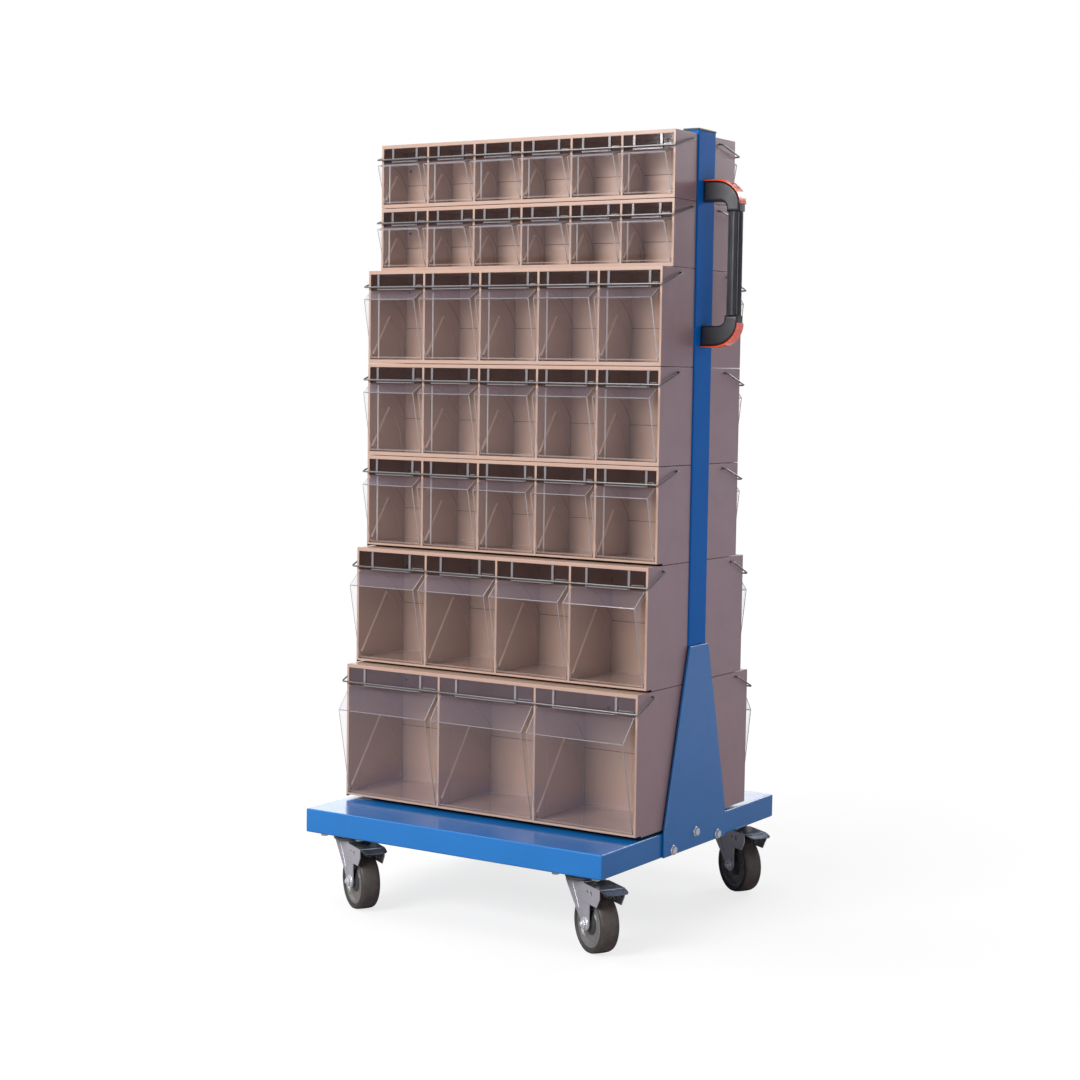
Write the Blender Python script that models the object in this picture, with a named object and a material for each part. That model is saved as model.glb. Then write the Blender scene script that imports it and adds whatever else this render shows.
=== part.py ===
"""Mobile bin cart: a steel cart on four braked casters, with seven racks of clear tilting bins on each long side.

Metres, +Z up. The width runs along X, the handle stands at +X, one stack of racks faces -Y and its twin faces +Y.
The pieces are built about the middle of the cart, with the floor at zero, and one empty then moves them all so
that the middle of the cart's bounding box stands over the origin.
"""

import math

import bmesh
import bpy
from mathutils import Matrix, Vector

# Fits shared by every piece: the gap between two pieces, how far a cut runs past what it cuts, and how deep
# one shape is let into another that it is joined to
CLEARANCE = 0.0003
OVERRUN = 0.004
LET_IN = 0.001
SMOOTH_ANGLE = math.radians(35)

# Racks, all of one width and wall
RACK_WIDTH = 0.600
LIP = 0.0065
SIDE_WALL = 0.0045
BACK_WALL = 0.0025
STACK_GAP = 0.0008

# Each kind of rack: its size, how far the bins' noses stand out, and where its wire bail hangs.
# A drop is measured down from the rack's top, and hinge_back from its front plane.
RACKS = {
    "six": {
        "cells": 6, "height": 0.112, "depth": 0.0745, "nose": 0.0215, "nose_drop": 0.0385,
        "wire_drop": 0.027, "hinge_back": 0.058, "hinge_drop": 0.0115,
    },
    "five": {
        "cells": 5, "height": 0.164, "depth": 0.110, "nose": 0.023, "nose_drop": 0.052,
        "wire_drop": 0.030, "hinge_back": 0.058, "hinge_drop": 0.0095,
    },
    "four": {
        "cells": 4, "height": 0.207, "depth": 0.138, "nose": 0.030, "nose_drop": 0.066,
        "wire_drop": 0.034, "hinge_back": 0.048, "hinge_drop": 0.010,
    },
    "three": {
        "cells": 3, "height": 0.240, "depth": 0.1645, "nose": 0.0325, "nose_drop": 0.079,
        "wire_drop": 0.032, "hinge_back": 0.047, "hinge_drop": 0.009,
    },
}
STACK = ("three", "four", "five", "five", "five", "six", "six")

# The label window closes the upper front of each cell, down to a little below the wire
WINDOW_THICKNESS = 0.0025
WINDOW_BELOW_WIRE = 0.005

# Tilting bin: it turns about pins that lie one toe radius behind its front and above its floor
BIN_WALL = 0.0018
BIN_SIDE_GAP = 0.001
BIN_TOE = 0.0045
BIN_TOP_GAP = 0.0015
BIN_BACK_GAP = 0.003
BIN_BACK_RISE = 0.020
BIN_RIM_STEPS = 2
PIN_RADIUS = 0.0015
PIN_HOLE_RADIUS = 0.0022
PIN_DEPTH = 0.003
PIN_SIDES = 6

# Wire bail
WIRE_RADIUS = 0.0015
WIRE_SIDE_GAP = 0.0045
WIRE_FRONT_GAP = 0.0055
WIRE_BEND = 0.004
WIRE_HOLE_RADIUS = 0.0023
WIRE_END_DEPTH = 0.0035

# Posts, their caps and the platform
POST_DEPTH = 0.060
POST_THICKNESS = 0.030
POST_WALL = 0.002
POST_PROUD = 0.0025
POST_RISE = 0.0045
CAP_THICKNESS = 0.004
CAP_PLUG = 0.012
BASE_DEPTH = 0.610
BASE_HEIGHT = 0.0415
BASE_WALL = 0.002
BASE_RIM = 0.115
BASE_BEND = 0.003
RACK_LIFT = 0.0045

# Foot plates, welded to the posts and bolted to the platform
PLATE_THICKNESS = 0.004
PLATE_HALF_WIDTH = 0.110
PLATE_TOP_HALF_WIDTH = 0.033
PLATE_RISE = 0.3075
PLATE_BOLT_SPREAD = 0.079
PLATE_BOLT_RISE = 0.0085
PLATE_MIDDLE_BOLT_RISE = 0.0265

# Hexagon bolt heads
BOLT_RADIUS = 0.0075
BOLT_HEAD_HEIGHT = 0.0053
BOLT_SIDES = 6

# Handle, measured out from the post and from its own middle
HANDLE_HEIGHT = 0.279
HANDLE_DROP = 0.2198
HANDLE_REACH = 0.0684
HANDLE_WIDTH = 0.025
HANDLE_FOOT = 0.0365
HANDLE_FILLET = 0.012
HANDLE_BEVEL = 0.004
HANDLE_ARC_STEPS = 6
GRIP_LENGTH = 0.172
GRIP_SIDES = 16
COVER_THICKNESS = 0.0034
COVER_FOOT_THICKNESS = 0.0022
COVER_STRAIGHT = 0.026
COVER_DROP = 0.041

# Casters. The trail runs from the swivel axis to the axle, and a reach is measured along it.
CASTER_INSET_X = 0.0625
CASTER_INSET_Y = 0.054
CASTER_TURN = math.radians(-31.0)
TRAIL = 0.041
WHEEL_RADIUS = 0.050
WHEEL_TOP_GAP = 0.0137
TYRE_DEPTH = 0.0098
TYRE_HALF_WIDTH = 0.0155
TREAD_HALF_WIDTH = 0.0095
TREAD_CROWN = 0.0008
TYRE_SHOULDER = 0.0045
WHEEL_SIDES = 24
HUB_RADIUS = 0.013
HUB_HALF_LENGTH = 0.018
WEB_HALF_WIDTH = 0.009
RIM_HALF_WIDTH = 0.0130
RIM_THICKNESS = 0.005
AXLE_RADIUS = 0.004
AXLE_HALF_LENGTH = 0.0266
NUT_RADIUS = 0.0072
AXLE_SIDES = 12

# Caster plates under the platform, each with the fixed disc of its swivel head
MOUNT_LENGTH = 0.100
MOUNT_WIDTH = 0.085
MOUNT_THICKNESS = 0.003
MOUNT_BOLT_X = 0.0385
MOUNT_BOLT_Y = 0.031
HEAD_RADIUS = 0.030
HEAD_HEIGHT = 0.003
MOUNT_HEAD_HEIGHT = 0.0045

# Fork
CROWN_RADIUS = 0.034
CROWN_RISE = 0.005
SHOULDER_THICKNESS = 0.003
SHOULDER_FRONT = 0.033
FORK_THICKNESS = 0.0025
FORK_GAP = 0.0005
LEG_END_RADIUS = 0.012
LEG_BACK = 0.031
LEG_BACK_HEIGHT = 0.010
LEG_ARC_STEPS = 5
EAR_HEIGHT = 0.009
EAR_MARGIN = 0.0075
SWIVEL_SIDES = 20

# Brake pedal
PEDAL_HINGE_FORWARD = 0.015
PEDAL_HINGE_DROP = 0.016
PEDAL_PIN_RADIUS = 0.003
PEDAL_PIN_HOLE_RADIUS = 0.0035
PEDAL_PIN_SIDES = 8
PEDAL_REACH = 0.115
PEDAL_THICKNESS = 0.003
PEDAL_BACK_GAP = 0.002
PEDAL_TIP_DROP = 0.004
PEDAL_TIP_HALF_WIDTH = 0.020
CHEEK_THICKNESS = 0.002
CHEEK_DEPTH = 0.031
CHEEK_LENGTH = 0.056
TONGUE_OVERLAP = 0.006
SHOE_START = 0.070
SHOE_END = 0.106
SHOE_DEPTH = 0.011
SHOE_INSET = 0.003

# Heights from the floor up, which follow from the sizes above
SHOULDER_LOW = 2 * WHEEL_RADIUS + WHEEL_TOP_GAP
FORK_TOP = SHOULDER_LOW + SHOULDER_THICKNESS
CROWN_TOP = FORK_TOP + CROWN_RISE
MOUNT_LOW = CROWN_TOP + CLEARANCE + HEAD_HEIGHT
BASE_BOTTOM = MOUNT_LOW + MOUNT_THICKNESS
BASE_TOP = BASE_BOTTOM + BASE_HEIGHT
RACK_BOTTOM = BASE_TOP + RACK_LIFT
RACK_TOP = RACK_BOTTOM + sum(RACKS[kind]["height"] for kind in STACK)
POST_TOP = RACK_TOP + POST_RISE
HANDLE_CENTRE = POST_TOP - HANDLE_DROP

# Places across the cart
RACK_HALF = RACK_WIDTH / 2
POST_OUTER = RACK_HALF + POST_PROUD
PLATE_INNER = POST_OUTER + CLEARANCE
PLATE_OUTER = PLATE_INNER + PLATE_THICKNESS
HANDLE_SEAT = POST_OUTER + CLEARANCE
RACK_BACK = POST_DEPTH / 2 + CLEARANCE
WIRE_X = RACK_HALF + WIRE_SIDE_GAP + WIRE_RADIUS
CASTER_X = POST_OUTER - CASTER_INSET_X
CASTER_Y = BASE_DEPTH / 2 - CASTER_INSET_Y

# Places about a caster's swivel axis
TRAIL_DIRECTION = Vector((math.cos(CASTER_TURN), math.sin(CASTER_TURN), 0))
AXLE_DIRECTION = Vector((-math.sin(CASTER_TURN), math.cos(CASTER_TURN), 0))
FORK_INNER = HUB_HALF_LENGTH + FORK_GAP
FORK_OUTER = FORK_INNER + FORK_THICKNESS
CHEEK_INNER = FORK_OUTER + FORK_GAP
CHEEK_OUTER = CHEEK_INNER + CHEEK_THICKNESS
PEDAL_HINGE_REACH = TRAIL + PEDAL_HINGE_FORWARD
PEDAL_HINGE_HEIGHT = FORK_TOP - PEDAL_HINGE_DROP

# The cart's bounding box, whose middle goes over the origin
LOW_X = min(-WIRE_X - WIRE_RADIUS, -PLATE_OUTER - BOLT_HEAD_HEIGHT)
HIGH_X = HANDLE_SEAT + HANDLE_REACH
PEDAL_TIP_Y = TRAIL_DIRECTION.y * PEDAL_REACH - AXLE_DIRECTION.y * PEDAL_TIP_HALF_WIDTH
LOW_Y = PEDAL_TIP_Y - CASTER_Y
HIGH_Y = BASE_DEPTH / 2


def clear_scene():
    for old in list(bpy.data.objects):
        bpy.data.objects.remove(old)


def make_material(name, colour, roughness, metallic=0.0, alpha=1.0):
    material = bpy.data.materials.new(name)
    material.use_nodes = True
    shader = material.node_tree.nodes["Principled BSDF"]
    shader.inputs["Base Color"].default_value = (*colour, 1.0)
    shader.inputs["Roughness"].default_value = roughness
    shader.inputs["Metallic"].default_value = metallic
    shader.inputs["Alpha"].default_value = alpha
    return material


def make_materials():
    return {
        "blue_paint": make_material("blue_paint", (0.045, 0.17, 0.42), 0.35),
        "beige": make_material("beige", (0.42, 0.30, 0.25), 0.4),
        "clear": make_material("clear", (0.80, 0.76, 0.78), 0.08, alpha=0.35),
        "steel_wire": make_material("steel_wire", (0.45, 0.44, 0.45), 0.3, 1.0),
        "zinc": make_material("zinc", (0.55, 0.57, 0.62), 0.35, 1.0),
        "black_plastic": make_material("black_plastic", (0.02, 0.02, 0.025), 0.5),
        "orange_cover": make_material("orange_cover", (0.75, 0.07, 0.02), 0.2),
        "tyre_rubber": make_material("tyre_rubber", (0.09, 0.07, 0.065), 0.6),
    }


def finish_mesh(name, shape, smooth=False):
    """Turns a bmesh into a mesh with its faces pointing out."""
    bmesh.ops.recalc_face_normals(shape, faces=shape.faces)
    mesh = bpy.data.meshes.new(name)
    shape.to_mesh(mesh)
    shape.free()
    if smooth:
        shade_round(mesh)
    return mesh


def shade_round(mesh):
    mesh.shade_smooth()
    mesh.set_sharp_from_angle(angle=SMOOTH_ANGLE)


def add_object(name, data, material, centre, location=(0, 0, 0), turn=0.0):
    """Adds one named piece, placed in the cart's own frame under the centring empty."""
    piece = bpy.data.objects.new(name, data)
    if not data.materials:
        data.materials.append(material)
    bpy.context.scene.collection.objects.link(piece)
    piece.parent = centre
    piece.location = location
    piece.rotation_euler = (0, 0, turn)
    return piece


def combined(base, *steps):
    """The base mesh after a list of Boolean steps, each an (operation, bmesh) pair."""
    body = bpy.data.objects.new("body", base)
    bpy.context.scene.collection.objects.link(body)
    tools = []
    for operation, shape in steps:
        tool = bpy.data.objects.new("tool", finish_mesh("tool", shape))
        bpy.context.scene.collection.objects.link(tool)
        tool.hide_render = True
        tool.display_type = "WIRE"
        modifier = body.modifiers.new(operation, "BOOLEAN")
        modifier.object = tool
        modifier.operation = operation
        modifier.solver = "EXACT"
        tools.append(tool)
    bpy.context.view_layer.update()
    depsgraph = bpy.context.evaluated_depsgraph_get()
    result = bpy.data.meshes.new_from_object(body.evaluated_get(depsgraph))
    result.name = base.name
    for used in (body, *tools):
        bpy.data.objects.remove(used)
    return result


def add_box(shape, low, high):
    """A closed box between two corners."""
    size = [top - bottom for bottom, top in zip(low, high)]
    middle = [(top + bottom) / 2 for bottom, top in zip(low, high)]
    matrix = Matrix.Translation(middle) @ Matrix.Diagonal((*size, 1.0))
    bmesh.ops.create_cube(shape, size=1.0, matrix=matrix)


def boxed(low, high):
    shape = bmesh.new()
    add_box(shape, low, high)
    return shape


def add_prism(shape, outline, start, end, axis):
    """Sweeps a closed outline along one axis. The outline's two numbers are the other two axes, in order."""
    rings = []
    for level in (start, end):
        ring = []
        for first, second in outline:
            point = [first, second]
            point.insert(axis, level)
            ring.append(shape.verts.new(point))
        rings.append(ring)
    shape.faces.new(rings[0])
    shape.faces.new(rings[1])
    join_rings(shape, *rings)


def join_rings(shape, low, high):
    for k in range(len(low)):
        n = (k + 1) % len(low)
        shape.faces.new((low[k], low[n], high[n], high[k]))


def add_turned(shape, profile, sides, matrix, ring=False):
    """Turns a profile of (radius, height) points about local Z. A ring profile closes on itself."""
    rings = []
    for radius, height in profile:
        ring_points = []
        for k in range(sides):
            angle = 2 * math.pi * k / sides
            point = Vector((radius * math.cos(angle), radius * math.sin(angle), height))
            ring_points.append(shape.verts.new(matrix @ point))
        rings.append(ring_points)
    for low, high in zip(rings, rings[1:]):
        join_rings(shape, low, high)
    if ring:
        join_rings(shape, rings[-1], rings[0])
    else:
        shape.faces.new(rings[0])
        shape.faces.new(rings[-1])


def along_x(place):
    """Turns local Z to point along X, at a place."""
    return Matrix.Translation(place) @ Matrix.Rotation(math.pi / 2, 4, "Y")


def along_y(place):
    """Turns local Z to point along Y, at a place."""
    return Matrix.Translation(place) @ Matrix.Rotation(-math.pi / 2, 4, "X")


def rack_levels():
    """Every rack of one side, top rack first: its row number, its kind and the height of its floor."""
    levels = []
    bottom = RACK_BOTTOM
    for kind in STACK:
        levels.append((kind, bottom))
        bottom += RACKS[kind]["height"]
    levels.reverse()
    return [(row, kind, z) for row, (kind, z) in enumerate(levels, start=1)]


def rack_matrix(rack, bottom, facing):
    """From a rack's own frame, with its front plane at y = 0 and its floor at z = 0, to the cart's frame."""
    front = RACK_BACK + rack["depth"]
    return Matrix.Translation((0, facing * front, bottom)) @ Matrix.Rotation(rack_turn(facing), 4, "Z")


def rack_turn(facing):
    return 0.0 if facing < 0 else math.pi


def cell_width(rack):
    count = rack["cells"]
    return (RACK_WIDTH - (count + 1) * SIDE_WALL) / count


def cell_starts(rack):
    pitch = cell_width(rack) + SIDE_WALL
    return [SIDE_WALL - RACK_HALF + i * pitch for i in range(rack["cells"])]


def window_bottom(rack):
    return rack["height"] - rack["wire_drop"] - WINDOW_BELOW_WIRE


def bin_pivot():
    """The bins' tilting axis in a rack's own frame, behind the front plane and above the floor."""
    return Vector((BIN_TOE, LIP + CLEARANCE + BIN_TOE))


def housing_mesh(kind):
    """A rack shell: a box with its cells cut out behind the label windows, and the holes for pins and wire."""
    rack = RACKS[kind]
    top = rack["height"] - STACK_GAP
    back = rack["depth"] - BACK_WALL
    low_window = window_bottom(rack)
    cell_outline = (
        (-OVERRUN, LIP),
        (back, LIP),
        (back, top - LIP),
        (WINDOW_THICKNESS, top - LIP),
        (WINDOW_THICKNESS, low_window),
        (-OVERRUN, low_window),
    )
    cells = bmesh.new()
    for start in cell_starts(rack):
        add_prism(cells, cell_outline, start, start + cell_width(rack), 0)
    pivot = bin_pivot()
    reach = RACK_HALF - SIDE_WALL + PIN_DEPTH + CLEARANCE
    pin_hole = bmesh.new()
    profile = ((PIN_HOLE_RADIUS, -reach), (PIN_HOLE_RADIUS, reach))
    add_turned(pin_hole, profile, PIN_SIDES, along_x((0, *pivot)))
    wire_holes = bmesh.new()
    half = SIDE_WALL / 2 + OVERRUN
    profile = ((WIRE_HOLE_RADIUS, -half), (WIRE_HOLE_RADIUS, half))
    for side in (-1, 1):
        middle = side * (RACK_HALF - SIDE_WALL / 2)
        place = (middle, rack["hinge_back"], rack["height"] - rack["hinge_drop"])
        add_turned(wire_holes, profile, PIN_SIDES, along_x(place))
    block = boxed((-RACK_HALF, 0, 0), (RACK_HALF, rack["depth"], top))
    return combined(
        finish_mesh("housing_" + kind, block),
        ("DIFFERENCE", cells),
        ("DIFFERENCE", pin_hole),
        ("DIFFERENCE", wire_holes),
    )


def bin_outline(rack):
    """The bin from its side, as (behind the front plane, above the rack's floor): its walls from the front rim
    round the toe to the back rim, and the rim's own points on the arc that clears the label window."""
    pivot = bin_pivot()
    radius = window_bottom(rack) - BIN_TOP_GAP - pivot.y
    top_front = Vector((0.0, pivot.y + math.sqrt(radius**2 - pivot.x**2)))
    deepest = rack["depth"] - BACK_WALL - BIN_BACK_GAP
    lowest_rim = pivot.x + math.sqrt(radius**2 - BIN_BACK_RISE**2)
    back = min(deepest, lowest_rim)
    top_back = Vector((back, pivot.y + math.sqrt(radius**2 - (back - pivot.x) ** 2)))
    nose = Vector((-rack["nose"], rack["height"] - rack["nose_drop"]))
    toe_front = Vector((pivot.x - BIN_TOE, pivot.y))
    toe_bottom = Vector((pivot.x, pivot.y - BIN_TOE))
    bottom_back = Vector((back, pivot.y - BIN_TOE))
    walls = [top_front, nose, toe_front, toe_bottom, bottom_back, top_back]
    first = math.atan2(top_back.y - pivot.y, top_back.x - pivot.x)
    last = math.atan2(top_front.y - pivot.y, top_front.x - pivot.x)
    rim = []
    for step in range(1, BIN_RIM_STEPS):
        angle = first + (last - first) * step / BIN_RIM_STEPS
        rim.append(pivot + radius * Vector((math.cos(angle), math.sin(angle))))
    return walls, rim


def crossing(point_a, direction_a, point_b, direction_b):
    """Where two lines of the plane meet."""
    cross = direction_a.x * direction_b.y - direction_a.y * direction_b.x
    offset = point_b - point_a
    along = (offset.x * direction_b.y - offset.y * direction_b.x) / cross
    return point_a + direction_a * along


def inset_walls(walls, rim, thickness):
    """The inner side of a chain of walls. Its two ends lie on the rim's first and last lines."""
    lines = [(walls[0], (rim[-1] - walls[0]).normalized())]
    for start, end in zip(walls, walls[1:]):
        direction = (end - start).normalized()
        inward = Vector((-direction.y, direction.x))
        lines.append((start + inward * thickness, direction))
    lines.append((walls[-1], (rim[0] - walls[-1]).normalized()))
    return [crossing(*a, *b) for a, b in zip(lines, lines[1:])]


def add_bin(shape, rack, low, high):
    """One open bin between two places across the rack. Its walls are of one thickness, and its rim is flat."""
    walls, rim = bin_outline(rack)
    inner = inset_walls(walls, rim, BIN_WALL)

    def side_loops(wall_points, x_places):
        loops = []
        for x in x_places:
            loops.append([shape.verts.new((x, *point)) for point in (*wall_points, *rim)])
        return loops

    outer_loops = side_loops(walls, (low, high))
    inner_loops = side_loops(inner, (low + BIN_WALL, high - BIN_WALL))
    last_wall = len(walls) - 1
    for left, right in (outer_loops, inner_loops):
        shape.faces.new(left)
        shape.faces.new(right)
        for i in range(last_wall):
            shape.faces.new((left[i], left[i + 1], right[i + 1], right[i]))
    for outer, inside in zip(outer_loops, inner_loops):
        count = len(outer)
        for i in range(last_wall, count):
            j = (i + 1) % count
            shape.faces.new((outer[i], outer[j], inside[j], inside[i]))
    for i in (0, last_wall):
        shape.faces.new((outer_loops[0][i], outer_loops[1][i], inner_loops[1][i], inner_loops[0][i]))


def bins_mesh(kind):
    """A rack's bins about their tilting axis. The pins of neighbours meet inside the partition between them."""
    rack = RACKS[kind]
    width = cell_width(rack)
    bins = bmesh.new()
    pins = bmesh.new()
    pin_ends = [SIDE_WALL - RACK_HALF - PIN_DEPTH]
    for start in cell_starts(rack):
        low = start + BIN_SIDE_GAP
        high = start + width - BIN_SIDE_GAP
        add_bin(bins, rack, low, high)
        pin_ends.append(low + BIN_WALL / 2)
        pin_ends.append(high - BIN_WALL / 2)
    pin_ends.append(RACK_HALF - SIDE_WALL + PIN_DEPTH)
    for low, high in zip(pin_ends[::2], pin_ends[1::2]):
        add_turned(pins, ((PIN_RADIUS, low), (PIN_RADIUS, high)), PIN_SIDES, along_x((0, *bin_pivot())))
    mesh = combined(finish_mesh("bins_" + kind, bins), ("UNION", pins))
    mesh.transform(Matrix.Translation((0, *-bin_pivot())))
    return mesh


def bail_curve(kind):
    """The bail as one bent wire about its own hinge axis, in the rack's directions."""
    rack = RACKS[kind]
    front = -WIRE_FRONT_GAP - WIRE_RADIUS - rack["hinge_back"]
    arm = Vector((0, front, rack["hinge_drop"] - rack["wire_drop"]))
    bend = arm.normalized() * WIRE_BEND
    corner = Vector((WIRE_X, 0, 0))
    across = Vector((WIRE_BEND, 0, 0))
    end = Vector((RACK_HALF - WIRE_END_DEPTH, 0, 0))
    half = [end, corner - across, corner + bend, corner + arm - bend, corner + arm - across]
    points = half + [Vector((-point.x, point.y, point.z)) for point in reversed(half)]
    curve = bpy.data.curves.new("bail_" + kind, "CURVE")
    curve.dimensions = "3D"
    curve.bevel_depth = WIRE_RADIUS
    curve.bevel_resolution = 1
    curve.use_fill_caps = True
    spline = curve.splines.new("POLY")
    spline.points.add(len(points) - 1)
    for target, point in zip(spline.points, points):
        target.co = (*point, 1.0)
    return curve


def caster_places():
    return [(x * CASTER_X, y * CASTER_Y) for x in (-1, 1) for y in (-1, 1)]


def base_mesh():
    """The platform: a folded tray, open below inside its turned-under rim, with the four caster plates."""
    half_y = BASE_DEPTH / 2
    tray = boxed((-POST_OUTER, -half_y, BASE_BOTTOM), (POST_OUTER, half_y, BASE_TOP))
    upright = [edge for edge in tray.edges if edge.verts[0].co.z != edge.verts[1].co.z]
    bmesh.ops.bevel(tray, geom=upright, offset=BASE_BEND, segments=2, affect="EDGES", profile=0.5)
    inner_x = POST_OUTER - BASE_WALL
    inner_y = half_y - BASE_WALL
    inner_top = BASE_TOP - BASE_WALL
    hollow = boxed((-inner_x, -inner_y, BASE_BOTTOM + BASE_WALL), (inner_x, inner_y, inner_top))
    mouth_x = POST_OUTER - BASE_RIM
    mouth_y = half_y - BASE_RIM
    mouth = boxed((-mouth_x, -mouth_y, BASE_BOTTOM - OVERRUN), (mouth_x, mouth_y, inner_top - BASE_WALL))
    plates = bmesh.new()
    heads = bmesh.new()
    bolts = bmesh.new()
    for x, y in caster_places():
        add_caster_plate(plates, heads, bolts, x, y)
    return combined(
        finish_mesh("base_platform", tray),
        ("DIFFERENCE", hollow),
        ("DIFFERENCE", mouth),
        ("UNION", plates),
        ("UNION", heads),
        ("UNION", bolts),
    )


def add_caster_plate(plates, heads, bolts, x, y):
    half_length = MOUNT_LENGTH / 2
    half_width = MOUNT_WIDTH / 2
    let_in = BASE_BOTTOM + BASE_WALL / 2
    add_box(plates, (x - half_length, y - half_width, MOUNT_LOW), (x + half_length, y + half_width, let_in))
    profile = ((HEAD_RADIUS, MOUNT_LOW - HEAD_HEIGHT), (HEAD_RADIUS, MOUNT_LOW + LET_IN))
    add_turned(heads, profile, SWIVEL_SIDES, Matrix.Translation((x, y, 0)))
    profile = ((BOLT_RADIUS, MOUNT_LOW - MOUNT_HEAD_HEIGHT), (BOLT_RADIUS, MOUNT_LOW + LET_IN))
    for step_x in (-MOUNT_BOLT_X, MOUNT_BOLT_X):
        for step_y in (-MOUNT_BOLT_Y, MOUNT_BOLT_Y):
            add_turned(bolts, profile, BOLT_SIDES, Matrix.Translation((x + step_x, y + step_y, 0)))


def post_mesh():
    """The +X post about the cart's middle: a tube with its cap, its welded foot plate and the plate's bolts."""
    inner = POST_OUTER - POST_THICKNESS
    half_y = POST_DEPTH / 2
    low = BASE_TOP + CLEARANCE
    tube = boxed((inner, -half_y, low), (POST_OUTER, half_y, POST_TOP + CAP_THICKNESS))
    bore = boxed(
        (inner + POST_WALL, POST_WALL - half_y, low - OVERRUN),
        (POST_OUTER - POST_WALL, half_y - POST_WALL, POST_TOP - CAP_PLUG),
    )
    weld = boxed(
        (POST_OUTER - POST_WALL / 2, POST_WALL - half_y, low + POST_WALL),
        (PLATE_INNER + PLATE_THICKNESS / 2, half_y - POST_WALL, BASE_TOP + PLATE_RISE - POST_WALL),
    )
    outline = (
        (-PLATE_HALF_WIDTH, BASE_BOTTOM),
        (PLATE_HALF_WIDTH, BASE_BOTTOM),
        (PLATE_HALF_WIDTH, BASE_TOP),
        (PLATE_TOP_HALF_WIDTH, BASE_TOP + PLATE_RISE),
        (-PLATE_TOP_HALF_WIDTH, BASE_TOP + PLATE_RISE),
        (-PLATE_HALF_WIDTH, BASE_TOP),
    )
    plate = bmesh.new()
    add_prism(plate, outline, PLATE_INNER, PLATE_OUTER, 0)
    bolts = bmesh.new()
    places = [(side * PLATE_BOLT_SPREAD, PLATE_BOLT_RISE) for side in (-1, 1)]
    places.append((0, PLATE_MIDDLE_BOLT_RISE))
    profile = ((BOLT_RADIUS, -LET_IN), (BOLT_RADIUS, BOLT_HEAD_HEIGHT))
    for y, rise in places:
        add_turned(bolts, profile, BOLT_SIDES, along_x((PLATE_OUTER, y, BASE_BOTTOM + rise)))
    return combined(
        finish_mesh("post", tube),
        ("DIFFERENCE", bore),
        ("UNION", weld),
        ("UNION", plate),
        ("UNION", bolts),
    )


def corner_curve(rise, straight, reach, drop):
    """The handle's outer corner, from the post out and then round towards the grip, about the handle's middle."""
    points = [(0.0, rise)]
    for step in range(HANDLE_ARC_STEPS + 1):
        angle = math.pi / 2 * step / HANDLE_ARC_STEPS
        x = straight + (reach - straight) * math.sin(angle)
        points.append((x, rise - drop + drop * math.cos(angle)))
    return points


def cover_outlines():
    """The outer and the inner curve of the glossy cover over a corner of the handle."""
    outer = corner_curve(HANDLE_HEIGHT / 2, COVER_STRAIGHT, HANDLE_REACH, COVER_DROP)
    inner = corner_curve(
        HANDLE_HEIGHT / 2 - COVER_FOOT_THICKNESS,
        COVER_STRAIGHT - COVER_THICKNESS,
        HANDLE_REACH - CLEARANCE,
        COVER_DROP - COVER_FOOT_THICKNESS,
    )
    return outer, inner


def elbow_outline():
    """One end of the handle from the side: foot, corner under the cover, grip end and inner fillet."""
    reach = HANDLE_REACH - 2 * CLEARANCE
    outer = corner_curve(
        HANDLE_HEIGHT / 2 - COVER_FOOT_THICKNESS - CLEARANCE,
        COVER_STRAIGHT - COVER_THICKNESS - CLEARANCE,
        reach,
        COVER_DROP - COVER_FOOT_THICKNESS,
    )
    inner_x = HANDLE_REACH - HANDLE_WIDTH
    foot_low = HANDLE_HEIGHT / 2 - HANDLE_FOOT
    grip_end = GRIP_LENGTH / 2
    points = outer + [(reach, grip_end), (inner_x, grip_end)]
    for step in range(HANDLE_ARC_STEPS // 2 + 1):
        angle = math.pi * step / HANDLE_ARC_STEPS
        x = inner_x - HANDLE_FILLET + HANDLE_FILLET * math.cos(angle)
        points.append((x, foot_low - HANDLE_FILLET + HANDLE_FILLET * math.sin(angle)))
    points.append((0.0, foot_low))
    return points


def add_handle_profile(shape, outline, flip, bevel):
    """A handle profile as wide as the handle, with its long edges eased. The flip mirrors it about the middle."""
    half = HANDLE_WIDTH / 2
    placed = [(HANDLE_SEAT + x, HANDLE_CENTRE + flip * z) for x, z in outline]
    add_prism(shape, placed, -half, half, 1)
    if bevel:
        bmesh.ops.recalc_face_normals(shape, faces=shape.faces)
        long_edges = [edge for edge in shape.edges if edge.verts[0].co.y == edge.verts[1].co.y]
        bmesh.ops.bevel(shape, geom=long_edges, offset=bevel, segments=1, affect="EDGES", profile=0.5)


def handle_mesh():
    """The handle: two elbows and the round grip between them."""
    elbows = []
    for flip in (1, -1):
        elbow = bmesh.new()
        add_handle_profile(elbow, elbow_outline(), flip, HANDLE_BEVEL)
        elbows.append(elbow)
    radius = HANDLE_WIDTH / 2
    grip = bmesh.new()
    half = GRIP_LENGTH / 2 + HANDLE_FILLET
    centre = (HANDLE_SEAT + HANDLE_REACH - radius - CLEARANCE, 0, HANDLE_CENTRE)
    add_turned(grip, ((radius, -half), (radius, half)), GRIP_SIDES, Matrix.Translation(centre))
    mesh = combined(finish_mesh("handle", elbows[0]), ("UNION", elbows[1]), ("UNION", grip))
    shade_round(mesh)
    return mesh


def cover_mesh(name, flip):
    outer, inner = cover_outlines()
    shape = bmesh.new()
    add_handle_profile(shape, outer + inner[::-1], flip, 0.0)
    return finish_mesh(name, shape, smooth=True)


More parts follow.
